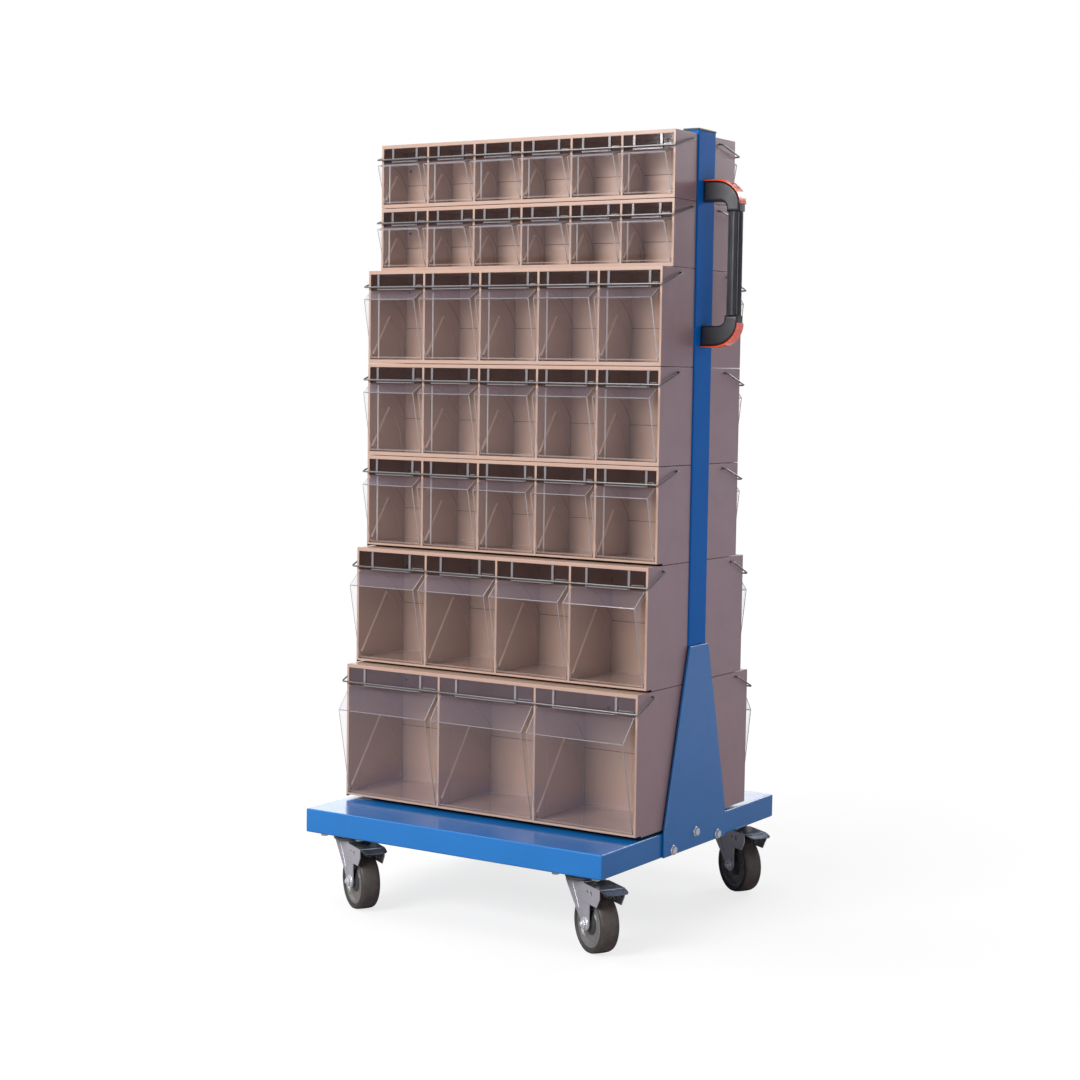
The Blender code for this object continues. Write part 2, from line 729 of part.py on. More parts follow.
def leg_outline():
    """A fork leg from the side, as (reach, height): wide under the crown, round at the axle, with an ear in front
    that carries the pedal."""
    axle = Vector((TRAIL, WHEEL_RADIUS))
    heel = Vector((-LEG_BACK, FORK_TOP - LEG_BACK_HEIGHT))
    to_heel = heel - axle
    first = math.atan2(to_heel.y, to_heel.x) + math.acos(LEG_END_RADIUS / to_heel.length)
    points = [(-LEG_BACK, FORK_TOP), tuple(heel)]
    for step in range(LEG_ARC_STEPS + 1):
        angle = first + (2 * math.pi - first) * step / LEG_ARC_STEPS
        arc = axle + LEG_END_RADIUS * Vector((math.cos(angle), math.sin(angle)))
        points.append(tuple(arc))
    ear_front = PEDAL_HINGE_REACH + EAR_MARGIN
    ear_low = PEDAL_HINGE_HEIGHT - EAR_HEIGHT
    ear_top = PEDAL_HINGE_HEIGHT + EAR_HEIGHT
    points.append((TRAIL + LEG_END_RADIUS, ear_low - EAR_HEIGHT))
    points.append((ear_front, ear_low))
    points.append((ear_front, ear_top))
    points.append((SHOULDER_FRONT, ear_top))
    points.append((SHOULDER_FRONT, FORK_TOP))
    return points


def axle_matrix():
    return along_y((TRAIL, 0, WHEEL_RADIUS))


def fork_mesh():
    """The fork about its swivel axis, its trail along +X: two legs under a round crown, and the axle bolt."""
    legs = bmesh.new()
    add_prism(legs, leg_outline(), -FORK_OUTER, FORK_OUTER, 1)
    ear_front = PEDAL_HINGE_REACH + EAR_MARGIN
    between = boxed((-LEG_BACK - OVERRUN, -FORK_INNER, -OVERRUN), (ear_front + OVERRUN, FORK_INNER, SHOULDER_LOW))
    crown = bmesh.new()
    crown_low = FORK_TOP - SHOULDER_THICKNESS / 2
    add_turned(crown, ((CROWN_RADIUS, crown_low), (CROWN_RADIUS, CROWN_TOP)), SWIVEL_SIDES, Matrix.Identity(4))
    axle = bmesh.new()
    seat = FORK_OUTER - LET_IN
    profile = (
        (NUT_RADIUS, -AXLE_HALF_LENGTH),
        (NUT_RADIUS, -seat),
        (AXLE_RADIUS, -seat),
        (AXLE_RADIUS, seat),
        (NUT_RADIUS, seat),
        (NUT_RADIUS, AXLE_HALF_LENGTH),
    )
    add_turned(axle, profile, AXLE_SIDES, axle_matrix())
    pin_hole = bmesh.new()
    reach = FORK_OUTER + OVERRUN
    hole = ((PEDAL_PIN_HOLE_RADIUS, -reach), (PEDAL_PIN_HOLE_RADIUS, reach))
    hinge = (PEDAL_HINGE_REACH, 0, PEDAL_HINGE_HEIGHT)
    add_turned(pin_hole, hole, PEDAL_PIN_SIDES, along_y(hinge))
    return combined(
        finish_mesh("fork", legs),
        ("DIFFERENCE", between),
        ("DIFFERENCE", pin_hole),
        ("UNION", crown),
        ("UNION", axle),
    )


def wheel_mesh():
    """The wheel about its own centre, its axle along Y: hub, web, rim and the tyre moulded onto it."""
    rim_outer = WHEEL_RADIUS - TYRE_DEPTH
    half = (
        (AXLE_RADIUS + CLEARANCE, HUB_HALF_LENGTH),
        (HUB_RADIUS, HUB_HALF_LENGTH),
        (HUB_RADIUS, WEB_HALF_WIDTH),
        (rim_outer - RIM_THICKNESS, WEB_HALF_WIDTH),
        (rim_outer, RIM_HALF_WIDTH),
        (WHEEL_RADIUS - TYRE_SHOULDER, TYRE_HALF_WIDTH),
        (WHEEL_RADIUS - TREAD_CROWN, TREAD_HALF_WIDTH),
        (WHEEL_RADIUS, 0),
    )
    mirrored = tuple((radius, -z) for radius, z in reversed(half[:-1]))
    shape = bmesh.new()
    add_turned(shape, half + mirrored, WHEEL_SIDES, along_y((0, 0, 0)), ring=True)
    return finish_mesh("wheel", shape, smooth=True)


def pedal_mesh():
    """The brake pedal about its hinge, its trail along +X: a channel over the fork, a tongue and a shoe under it."""
    ear_top = PEDAL_HINGE_HEIGHT + EAR_HEIGHT
    low = (ear_top + FORK_TOP) / 2 - PEDAL_HINGE_HEIGHT
    top = low + PEDAL_THICKNESS
    skirt = top - CHEEK_DEPTH
    start = CROWN_RADIUS + PEDAL_BACK_GAP - PEDAL_HINGE_REACH
    wide_end = start + CHEEK_LENGTH
    channel = bmesh.new()
    across = (
        (-CHEEK_OUTER, skirt),
        (-CHEEK_OUTER, top),
        (CHEEK_OUTER, top),
        (CHEEK_OUTER, skirt),
        (CHEEK_INNER, skirt),
        (CHEEK_INNER, low),
        (-CHEEK_INNER, low),
        (-CHEEK_INNER, skirt),
    )
    add_prism(channel, across, start, wide_end, 0)
    tongue = bmesh.new()
    rings = []
    tip = PEDAL_REACH - PEDAL_HINGE_REACH
    tongue_ends = ((wide_end - TONGUE_OVERLAP, CHEEK_INNER, 0.0), (tip, PEDAL_TIP_HALF_WIDTH, PEDAL_TIP_DROP))
    for x, half, drop in tongue_ends:
        corners = ((-half, low), (half, low), (half, top), (-half, top))
        rings.append([tongue.verts.new((x, y, z - drop)) for y, z in corners])
        tongue.faces.new(rings[-1])
    join_rings(tongue, *rings)
    shoe_half = PEDAL_TIP_HALF_WIDTH - SHOE_INSET
    shoe = boxed(
        (SHOE_START - PEDAL_HINGE_REACH, -shoe_half, top - SHOE_DEPTH),
        (SHOE_END - PEDAL_HINGE_REACH, shoe_half, top - PEDAL_TIP_DROP),
    )
    pins = bmesh.new()
    for side in (-1, 1):
        ends = [side * (FORK_INNER + CLEARANCE), side * (CHEEK_INNER + CHEEK_THICKNESS / 2)]
        add_turned(pins, [(PEDAL_PIN_RADIUS, y) for y in ends], PEDAL_PIN_SIDES, along_y((0, 0, 0)))
    return combined(
        finish_mesh("brake_pedal", channel),
        ("UNION", tongue),
        ("UNION", shoe),
        ("UNION", pins),
    )


def build_frame(centre, materials):
    blue = materials["blue_paint"]
    add_object("base_platform", base_mesh(), blue, centre)
    post = post_mesh()
    add_object("post_right", post, blue, centre)
    add_object("post_left", post, blue, centre, turn=math.pi)


def build_handle(centre, materials):
    add_object("handle", handle_mesh(), materials["black_plastic"], centre)
    for name, flip in (("handle_cover_upper", 1), ("handle_cover_lower", -1)):
        add_object(name, cover_mesh(name, flip), materials["orange_cover"], centre)


def build_racks(centre, materials):
    """Every rack with its bins and its bail, which have their origins on their own joint axes."""
    housings = {kind: housing_mesh(kind) for kind in RACKS}
    bins = {kind: bins_mesh(kind) for kind in RACKS}
    bails = {kind: bail_curve(kind) for kind in RACKS}
    for side, facing in (("front", -1), ("rear", 1)):
        turn = rack_turn(facing)
        for row, kind, bottom in rack_levels():
            rack = RACKS[kind]
            name = f"{side}_row_{row}"
            matrix = rack_matrix(rack, bottom, facing)
            pivot = matrix @ Vector((0, *bin_pivot()))
            hinge = matrix @ Vector((0, rack["hinge_back"], rack["height"] - rack["hinge_drop"]))
            add_object("housing_" + name, housings[kind], materials["beige"], centre, matrix.translation, turn)
            add_object("bins_" + name, bins[kind], materials["clear"], centre, pivot, turn)
            add_object("bail_" + name, bails[kind], materials["steel_wire"], centre, hinge, turn)


def build_casters(centre, materials):
    fork = fork_mesh()
    wheel = wheel_mesh()
    pedal = pedal_mesh()
    for x, y in caster_places():
        corner = ("rear" if y > 0 else "front") + ("_right" if x > 0 else "_left")
        swivel = Vector((x, y, 0))
        axle = swivel + TRAIL_DIRECTION * TRAIL + Vector((0, 0, WHEEL_RADIUS))
        hinge = swivel + TRAIL_DIRECTION * PEDAL_HINGE_REACH + Vector((0, 0, PEDAL_HINGE_HEIGHT))
        add_object("fork_" + corner, fork, materials["zinc"], centre, swivel, CASTER_TURN)
        add_object("wheel_" + corner, wheel, materials["tyre_rubber"], centre, axle, CASTER_TURN)
        add_object("brake_pedal_" + corner, pedal, materials["zinc"], centre, hinge, CASTER_TURN)


def main():
    clear_scene()
    materials = make_materials()
    centre = bpy.data.objects.new("cart_centre", None)
    bpy.context.scene.collection.objects.link(centre)
    centre.location = (-(HIGH_X + LOW_X) / 2, -(HIGH_Y + LOW_Y) / 2, 0)
    build_frame(centre, materials)
    build_handle(centre, materials)
    build_racks(centre, materials)
    build_casters(centre, materials)


main()
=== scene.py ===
import math
from types import SimpleNamespace

import bmesh
import bpy
from mathutils import Matrix, Vector


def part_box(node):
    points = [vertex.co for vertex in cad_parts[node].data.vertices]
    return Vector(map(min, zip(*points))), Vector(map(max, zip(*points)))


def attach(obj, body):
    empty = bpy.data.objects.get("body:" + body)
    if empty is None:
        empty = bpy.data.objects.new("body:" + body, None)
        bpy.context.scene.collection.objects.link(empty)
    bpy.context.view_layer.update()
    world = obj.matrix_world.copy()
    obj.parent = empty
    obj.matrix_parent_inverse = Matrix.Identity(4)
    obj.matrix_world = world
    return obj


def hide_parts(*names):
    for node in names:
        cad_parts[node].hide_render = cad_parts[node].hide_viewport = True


# Looks of the mobile bin cart. Metres, +Z up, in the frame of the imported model. Pieces of a rack are built in the
# rack's own frame: x across, y back from its front plane, z up from its floor. Pieces of a caster are built about
# its swivel axis with the trail along +X, and the handle about its own middle.

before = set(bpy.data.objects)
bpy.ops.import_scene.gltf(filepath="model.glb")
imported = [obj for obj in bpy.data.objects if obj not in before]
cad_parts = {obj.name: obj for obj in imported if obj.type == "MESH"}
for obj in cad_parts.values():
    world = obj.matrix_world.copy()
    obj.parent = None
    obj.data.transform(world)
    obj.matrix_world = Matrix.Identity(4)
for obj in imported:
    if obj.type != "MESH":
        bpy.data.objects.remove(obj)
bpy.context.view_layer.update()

ROOT = "cart_frame"
FACE_TURN = {"front": 0.0, "rear": math.pi}
CORNERS = ("front_left", "front_right", "rear_left", "rear_right")

# Racks, as in the solids
RACK_HALF = 0.300
LIP = 0.0065
SIDE_WALL = 0.0045
BACK_WALL = 0.0025
STACK_GAP = 0.0008
OVERRUN = 0.004
OVERLAP = 0.001
ROWS = ("six", "six", "five", "five", "five", "four", "three")
RACK_SIZES = (
    "cells", "nose", "nose_drop", "wire_drop", "hinge_back", "hinge_drop", "rib", "screw_drop", "sector", "line",
    "hole_drop",
)
RACKS = {
    "six": (6, 0.0215, 0.0385, 0.027, 0.058, 0.0115, 0.26, 0.0285, 0.060, 0.045, None),
    "five": (5, 0.023, 0.052, 0.030, 0.058, 0.0095, 0.33, 0.023, 0.0895, 0.064, None),
    "four": (4, 0.030, 0.066, 0.034, 0.048, 0.010, 0.275, 0.032, 0.134, 0.096, 0.0385),
    "three": (3, 0.0325, 0.079, 0.032, 0.047, 0.009, 0.3075, 0.035, 0.152, 0.108, 0.057),
}
SHELL_BEVEL = 0.0008
NOTCH_DEPTH = 0.018
NOTCH_HEIGHT = 0.0032
NOTCH_END = 0.0012
FIRST_NOTCHED_ROW = 5
SECTOR_RISE = math.radians(54.5)
RIDGE_REACHES = (0.06, 0.5, 1.0)
RIDGE_WIDTH = 0.0052
RIDGE_PROUD = 0.00192
STRIP_TOP_SHARE = 0.3
ARC_STEPS = 14
ARC_WIDTH = 0.0028
OUTER_ARC_DROP = 0.006
OUTER_ARC_PROUD = 0.0004
LINE_WIDTH = 0.0007
LINE_PROUD = 0.0008
SCREW_X = 0.2885
SCREW_RADIUS = 0.0042
SCREW_HEIGHT = 0.0022
SCREW_SHARES = ((0.9, 0), (1, -0.3), (0.8, -0.8), (0.45, -1), (0.2, -0.6))
SEAT_SHARES = (0.8, 1.5)
SEAT_HEIGHT = 0.0007
SLOT_DROP = 0.012
SLOT_RADIUS = 0.003
HOLE_X = 0.1488
HOLE_RADIUS = 0.0035
PIN_HOLE_RADIUS = 0.0022
WIRE_HOLE_RADIUS = 0.0023

# Label window over each cell
WINDOW_FRONT = 0.0005
WINDOW_BACK = 0.0025
WINDOW_BELOW_WIRE = 0.005
WINDOW_GAP = 0.0003
RIB_WIDTH = 0.0042
RIB_PROUD = 0.0016
LEDGE_REACH = 0.004
LEDGE_HEIGHT = 0.0014
TOOTH_PITCH = 0.0022
LUG_RISE = 0.0072
LUG_HEIGHT = 0.0014
LUG_GAP = 0.0025

# Bins
BIN_WALL = 0.0018
BIN_SIDE_GAP = 0.0016
BIN_TOE = 0.0045
BIN_FLOOR_GAP = 0.0003
BIN_TOP_GAP = 0.0015
BIN_BACK_GAP = 0.003
BIN_BACK_RISE = 0.020
BIN_BEVEL = 0.0008
LINING_BEVEL = 0.0007
BIN_NOSE_INSET = 0.0010
BIN_EDGE_WIDTH = 0.0015
BIN_EDGE_PROUD = 0.00015
NOSE = 1
PIN_RADIUS = 0.0015
BOSS_RADIUS = 0.0040
BOSS_PROUD = 0.0007
BIN_RIB_SHARE = 0.18
BIN_RIB_WIDTH = 0.0019
BIN_RIB_PROUD = 0.0006
# Kinds whose bins' ribs get a painted highlight
BRIGHT_RIB_KINDS = ("six", "five")
FRONT_SHARE = 0.12
# The kind of the lowest row, whose windows get a lighter painted shade and whose bin fronts a lilac veil.
LOWEST_ROW_KIND = "three"

# Wire bail
WIRE_RADIUS = 0.0015
WIRE_X = 0.306
WIRE_FRONT_GAP = 0.0055
WIRE_BEND = 0.005
WIRE_END_DEPTH = 0.0035
BEND_STEPS = 6

# Posts, foot plates and platform
POST_OUTER = 0.3025
POST_THICKNESS = 0.030
POST_DEPTH = 0.060
POST_CORNER = 0.0022
CAP_THICKNESS = 0.004
CAP_OVERHANG = 0.0006
CAP_BEVEL = 0.0014
PLATE_THICKNESS = 0.004
PLATE_GAP = 0.0003
PLATE_BEVEL = 0.0009
PLATE_HALF_WIDTH = 0.110
PLATE_TOP_HALF_WIDTH = 0.033
PLATE_RISE = 0.3075
PLATE_BOLTS = ((-0.079, 0.0085), (0.079, 0.0085), (0, 0.0265))
BOLT_RADIUS = 0.0072
BOLT_HEAD_HEIGHT = 0.0053
BOLT_CHAMFER = 0.0007
BOLT_TOP_SHARE = 0.88
WASHER_RADIUS = 0.0085
WASHER_HEIGHT = 0.0012
WASHER_CHAMFER = 0.0003
WELD_STEPS = 60
WELD_END = 0.004
WELD_RADIUS = 0.0013
WELD_WAVE = 0.0003
WELD_WAVE_STEP = 2.1
WELD_INSET = 0.0006
WELD_ASIDE = 0.0005
BASE_BOTTOM = 0.128
BASE_WALL = 0.002
BASE_RIM = 0.115
BASE_DEPTH = 0.610
BASE_CORNER = 0.0026

# Handle
HANDLE_HALF = 0.1395
HANDLE_REACH = 0.0684
HANDLE_WIDTH = 0.025
HANDLE_FOOT = 0.0365
HANDLE_FILLET = 0.012
HANDLE_EDGE = 0.0045
GRIP_HALF = 0.086
GRIP_END = 0.002
GRIP_GROOVES = 16
GRIP_GROOVE_DEPTH = 0.0009
COVER_THICKNESS = 0.0034
COVER_FOOT_THICKNESS = 0.0022
COVER_STRAIGHT = 0.026
COVER_DROP = 0.041
COVER_EDGE = 0.0009
SEAM = 0.0003

# Casters
CASTER_X = 0.240
CASTER_Y = 0.251
CASTER_TURN = math.radians(-31.0)
MOUNT_HALF_X = 0.050
MOUNT_HALF_Y = 0.0425
MOUNT_CORNER = 0.006
MOUNT_BOLT_X = 0.0385
MOUNT_BOLT_Y = 0.031
MOUNT_BOLT = (0.0070, 0.0045, 0.0078)
TRAIL = 0.041
WHEEL_RADIUS = 0.050
SHOULDER_LOW = 0.1137
FORK_TOP = 0.1167
CROWN_TOP = 0.1217
MOUNT_LOW = 0.125
FORK_INNER = 0.0185
FORK_OUTER = 0.021
FORK_BEVEL = 0.0011
PANEL_PROUD = 0.0009
PANEL_BEVEL = 0.0022
CHEEK_INNER = 0.0215
CHEEK_OUTER = 0.0235
LEG_BACK = 0.031
LEG_BACK_HEIGHT = 0.010
LEG_END_RADIUS = 0.012
SHOULDER_FRONT = 0.033
HINGE_REACH = 0.056
HINGE_HEIGHT = 0.1007
EAR_HEIGHT = 0.009
EAR_MARGIN = 0.0075
CROWN_RADIUS = 0.034
HEAD_RADIUS = 0.030
AXLE_RADIUS = 0.0039
AXLE_HALF = 0.0266
NUT_RADIUS = 0.0084
AXLE_WASHER_RADIUS = 0.0108
THREAD_RADIUS = 0.0042
THREAD_END = 0.0032
THREAD_CHAMFER = 0.0008
THREAD_TIP_SHARE = 0.8
PEDAL_LOW = (HINGE_HEIGHT + EAR_HEIGHT + FORK_TOP) / 2
PEDAL_TOP = PEDAL_LOW + 0.003
PEDAL_SKIRT = PEDAL_TOP - 0.031
PEDAL_START = CROWN_RADIUS + 0.002
PEDAL_END = PEDAL_START + 0.056
PEDAL_SLANT = 0.012
PEDAL_LIP = 0.006
PEDAL_BEVEL = 0.0006
PEDAL_HOLE_REACH = 0.03
DISH_START = 0.045
DISH_END = 0.10
DISH_DEPTH = 0.0006
TONGUE_THICKNESS = 0.0016
TONGUE_RISE = 0.0031

# (radius, height) points of the turned parts, and outlines of the pressed ones, (y, z) for the channel, else (x, z)
HEAD_PROFILE = (
    (0.012, MOUNT_LOW), (HEAD_RADIUS, MOUNT_LOW - 0.0005), (HEAD_RADIUS, MOUNT_LOW - 0.0022),
    (HEAD_RADIUS - 0.0015, MOUNT_LOW - 0.0030), (0.010, MOUNT_LOW - 0.0030),
)
CROWN_PROFILE = (
    (0.012, FORK_TOP - 0.001), (CROWN_RADIUS - 0.0012, FORK_TOP - 0.001), (CROWN_RADIUS, FORK_TOP + 0.0006),
    (CROWN_RADIUS, CROWN_TOP - 0.0014), (CROWN_RADIUS - 0.0014, CROWN_TOP), (0.012, CROWN_TOP),
)
TYRE_HALF = (
    (0.0402, 0.0146), (0.0440, 0.0171), (0.0462, 0.0170), (0.0482, 0.0157), (0.0494, 0.0128), (0.0499, 0.0070),
    (0.0500, 0),
)
CORE_HALF = (
    (0.0190, 0.0112), (0.0205, 0.0098), (0.0330, 0.0090), (0.0352, 0.0106), (0.0370, 0.0141), (0.0385, 0.0148),
    (0.0401, 0.0144), (0.0402, 0),
)
HUB_HALF = (
    (0.0042, 0.0180), (0.0095, 0.0180), (0.0102, 0.0172), (0.0106, 0.0150), (0.0165, 0.0138), (0.0186, 0.0126),
    (0.0192, 0.0095), (0.0192, 0),
)
PANEL = ((-0.022, 0.1085), (-0.006, 0.1085), (0.012, 0.084), (0.020, 0.070), (0.013, 0.067), (-0.010, 0.092))
CHANNEL = (
    (-CHEEK_OUTER, PEDAL_SKIRT), (-CHEEK_OUTER, PEDAL_TOP), (CHEEK_OUTER, PEDAL_TOP), (CHEEK_OUTER, PEDAL_SKIRT),
    (CHEEK_INNER, PEDAL_SKIRT), (CHEEK_INNER, PEDAL_LOW), (-CHEEK_INNER, PEDAL_LOW), (-CHEEK_INNER, PEDAL_SKIRT),
)
CHANNEL_CUT = (
    (PEDAL_END + OVERRUN, PEDAL_SKIRT - OVERRUN), (PEDAL_END + OVERRUN, PEDAL_LOW - PEDAL_LIP),
    (PEDAL_END - PEDAL_SLANT, PEDAL_SKIRT - OVERRUN),
)
# x, z and radius of the holes in the pedal's cheeks
PEDAL_HOLES = (
    (HINGE_REACH - 0.006, HINGE_HEIGHT + 0.004, 0.0022), (HINGE_REACH + 0.008, HINGE_HEIGHT + 0.003, 0.0032),
)
# x, half width and drop of the pedal's tongue
TONGUE = (
    (0.0362, 0.0228, 0.0), (0.060, 0.0232, 0.0), (0.086, 0.0228, 0.0002), (0.0985, 0.0222, 0.0012),
    (0.1085, 0.0205, 0.0030), (0.1135, 0.0165, 0.0040), (0.1148, 0.0110, 0.0042),
)
TONGUE_SHARES = (-1.0, -0.86, -0.4, 0.0, 0.4, 0.86, 1.0)
# x, half length, half width, drops of underside and top, and bevel of the shoe and its ribs
SHOE = (0.088, 0.018, 0.0165, 0.0078, 0.0022, 0.0018, 3)
SHOE_RIB = (0.0915, 0.0185, 0.0012, 0.0082, 0.0045, 0.0006, 2)
SHOE_RIB_PLACES = (-0.011, 0.0, 0.011)

# The photograph's view: the camera's place, its turn and its focal length in pixels of a square frame
CAMERA_PLACE = (1.94929, -3.098064, 0.93142)
CAMERA_AZIMUTH = math.radians(32.73)
CAMERA_ELEVATION = math.radians(-4.53)
CAMERA_ROLL = math.radians(0.84)
FOCAL_PIXELS = 2078.62
FRAME_PIXELS = 1080
SENSOR = 36.0

FLOOR_HALF = 12.0
FLOOR_FADE = (0.6, 2.2)
FLOOR_GRAIN = 200.0

# name, place, target, size, power, colour
LIGHTS = (
    ("key", (-0.7, -3.6, 2.3), (0, 0, 0.75), (2.0, 1.4), 170, (0.985, 0.975, 0.98)),
    ("top", (-1.7, -0.1, 3.2), (0, -0.1, 0.8), (3.0, 3.4), 58, (1, 1, 1)),
    ("side", (2.6, -0.6, 0.2), (0.3, 0, 0.1), (2.0, 0.8), 15, (0.97, 0.97, 1.0)),
    ("rear", (0.6, 3.8, 2.3), (0, 0, 0.7), (2.4, 1.4), 75, (1, 1, 1)),
    ("far", (2.6, 3.7, 0.4), (0.3, 0, 0.4), (3.2, 1.2), 9, (0.82, 0.82, 1.0)),
    ("back", (-2.6, 3.6, 1.1), (0, 0, 0.6), (2.4, 1.8), 27, (1, 1, 1)),
)


# Mesh tools

# Clear pieces are shaded flat, because a smoothed normal would bend their reflections.
FLAT = 1
# The share of a face's normal along an axis above which it counts as facing that way
FACING = 0.7
EVEN_SHADING = ("WEIGHTED_NORMAL", {"weight": 50, "keep_sharp": True})


def polar(radius, angle):
    return Vector((radius * math.cos(angle), radius * math.sin(angle)))


def circle(radius, sides):
    return [polar(radius, 2 * math.pi * k / sides) for k in range(sides)]


def arc(centre, radius, first, last, steps):
    return [centre + polar(radius, first + (last - first) * step / steps) for step in range(steps + 1)]


def link_object(name, data):
    thing = bpy.data.objects.new(name, data)
    bpy.context.scene.collection.objects.link(thing)
    return thing


def finish_mesh(name, shape, *materials, angle=35):
    """Turns a bmesh into a mesh with its faces pointing out and its flat faces kept crisp."""
    bmesh.ops.recalc_face_normals(shape, faces=shape.faces)
    mesh = bpy.data.meshes.new(name)
    shape.to_mesh(mesh)
    shape.free()
    for material in materials:
        mesh.materials.append(material)
    mesh.shade_smooth()
    mesh.set_sharp_from_angle(angle=math.radians(angle))
    return mesh


def modified(mesh, *modifiers):
    """The mesh after modifiers, each given as (kind, {setting: value}). Boolean tools come in as bmeshes."""
    body = link_object("body", mesh)
    used = [body]
    for kind, settings in modifiers:
        modifier = body.modifiers.new(kind, kind)
        for key, value in settings.items():
            if key == "object":
                value = link_object("tool", finish_mesh("tool", value))
                used.append(value)
            setattr(modifier, key, value)
    bpy.context.view_layer.update()
    result = bpy.data.meshes.new_from_object(body.evaluated_get(bpy.context.evaluated_depsgraph_get()))
    result.name = mesh.name
    for thing in used:
        bpy.data.objects.remove(thing)
    return result


def cut(shape):
    return "BOOLEAN", {"object": shape, "operation": "DIFFERENCE", "solver": "EXACT"}


def rounded(width, segments=2, angle=40):
    return "BEVEL", {
        "width": width, "segments": segments, "limit_method": "ANGLE", "angle_limit": math.radians(angle),
    }


def bevel_edges(shape, edges, width, segments, material=-1):
    bmesh.ops.bevel(
        shape, geom=edges, offset=width, segments=segments, affect="EDGES", profile=0.5, material=material,
    )


def add_box(shape, low, high):
    size = [top - bottom for bottom, top in zip(low, high)]
    middle = [(top + bottom) / 2 for bottom, top in zip(low, high)]
    matrix = Matrix.Translation(middle) @ Matrix.Diagonal((*size, 1.0))
    return bmesh.ops.create_cube(shape, size=1.0, matrix=matrix)["verts"]


def boxed(low, high):
    shape = bmesh.new()
    add_box(shape, low, high)
    return shape


def slab(half_x, half_y, low, high, x=0.0, y=0.0):
    return boxed((x - half_x, y - half_y, low), (x + half_x, y + half_y, high))


def corners(x, y):
    """The four places left and right, front and rear, in the order of the casters' names."""
    return [(side_x * x, side_y * y) for side_y in (-1, 1) for side_x in (-1, 1)]


def paint(verts, index):
    for vert in verts:
        for face in vert.link_faces:
            face.material_index = index


def add_face(shape, *points):
    shape.faces.new([shape.verts.new(point) for point in points])


def add_rings(shape, rings, closed=False):
    """A skin over rings of points, with flat ends, or closed from the last ring to the first. Gives its faces."""
    rings = [[shape.verts.new(point) for point in ring] for ring in rings]
    faces = [] if closed else [shape.faces.new(rings[0]), shape.faces.new(rings[-1])]
    for low, high in zip(rings, rings[1:] + rings[:1] if closed else rings[1:]):
        for k in range(len(low)):
            n = (k + 1) % len(low)
            faces.append(shape.faces.new((low[k], low[n], high[n], high[k])))
    return faces


def prism(outline, start, end, axis, shape=None):
    """Sweeps a closed outline along one axis. The outline's two numbers are the other two axes, in order."""
    shape = shape or bmesh.new()
    add_rings(shape, [[(*point[:axis], level, *point[axis:]) for point in outline] for level in (start, end)])
    return shape


def add_turned(shape, profile, sides, matrix, closed=False):
    """Turns a profile of (radius, height) points about local Z."""
    rings = []
    for radius, height in profile:
        rings.append([matrix @ Vector((*point, height)) for point in circle(radius, sides)])
    add_rings(shape, rings, closed)


def add_rod(shape, radius, low, high, matrix, sides=16):
    add_turned(shape, ((radius, low), (radius, high)), sides, matrix)


def add_part(shape, part, index):
    """Moves a bmesh into a shape, with one material for all of it."""
    for face in part.faces:
        face.material_index = index
    extra = bpy.data.meshes.new("extra")
    part.to_mesh(extra)
    part.free()
    shape.from_mesh(extra)


def along_x(place):
    return Matrix.Translation(place) @ Matrix.Rotation(math.pi / 2, 4, "Y")


def along_y(place):
    return Matrix.Translation(place) @ Matrix.Rotation(-math.pi / 2, 4, "X")


def add_piece(name, data, body, matrix, replaced=()):
    """Adds one named piece at a place in the row frame, riding on a body."""
    piece = link_object(name, data)
    piece.matrix_world = matrix
    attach(piece, body)
    for node in replaced:
        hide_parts(node)


def add_fixed(name, shape, material, matrix, slot, *modifiers, replaced=(), angle=35):
    """Adds one piece of the cart's frame, made from a bmesh."""
    mesh = finish_mesh(name, shape, material, angle=angle)
    add_piece(name, modified(mesh, *modifiers) if modifiers else mesh, ROOT, matrix, replaced)


# Finishes

NOISE_LOW, NOISE_HIGH = 0.3, 0.7
SCHLICK_POWER = 4
COAT_ROUGHNESS = 0.08
GLOSS_FINENESS = 3
GRAIN_DEPTH = 0.0002
HAZE_SCALE = 22.0
HAZE_SPREAD = 0.05
RIPPLE_SCALE = 60.0
RIPPLE = (0.08, 0.0004)


def new_material(name):
    """A material with its node tree and its Principled shader."""
    material = bpy.data.materials.new(name)
    material.use_nodes = True
    tree = material.node_tree
    return material, tree, tree.nodes["Principled BSDF"]


def feed(tree, node, inputs):
    """Gives a node its inputs, each a value or another node's output to link."""
    for key, value in inputs.items():
        if isinstance(value, bpy.types.NodeSocket):
            tree.links.new(value, node.inputs[key])
        else:
            node.inputs[key].default_value = value


def add_node(tree, kind, output, inputs=None):
    """Adds a shader node and gives its output."""
    node = tree.nodes.new("ShaderNode" + kind)
    feed(tree, node, inputs or {})
    return node.outputs[output]


def add_noise(tree, place, scale, detail=3.0, stretch=(1, 1, 1)):
    place = add_node(tree, "Mapping", "Vector", {"Vector": place, "Scale": stretch})
    return add_node(tree, "TexNoise", "Fac", {"Vector": place, "Scale": scale, "Detail": detail})


def add_ramp(tree, value, first, last, low=0.0, high=1.0):
    """A colour that runs from the first to the last as the value goes from low to high."""
    ramp = tree.nodes.new("ShaderNodeValToRGB")
    for element, position, colour in zip(ramp.color_ramp.elements, (low, high), (first, last)):
        element.position = position
        element.color = (*colour, 1.0)
    tree.links.new(value, ramp.inputs["Fac"])
    return ramp.outputs["Color"]


def add_range(tree, value, low, high, from_low=NOISE_LOW, from_high=NOISE_HIGH):
    return add_node(tree, "MapRange", "Result", {
        "Value": value, "From Min": from_low, "From Max": from_high, "To Min": low, "To Max": high,
    })


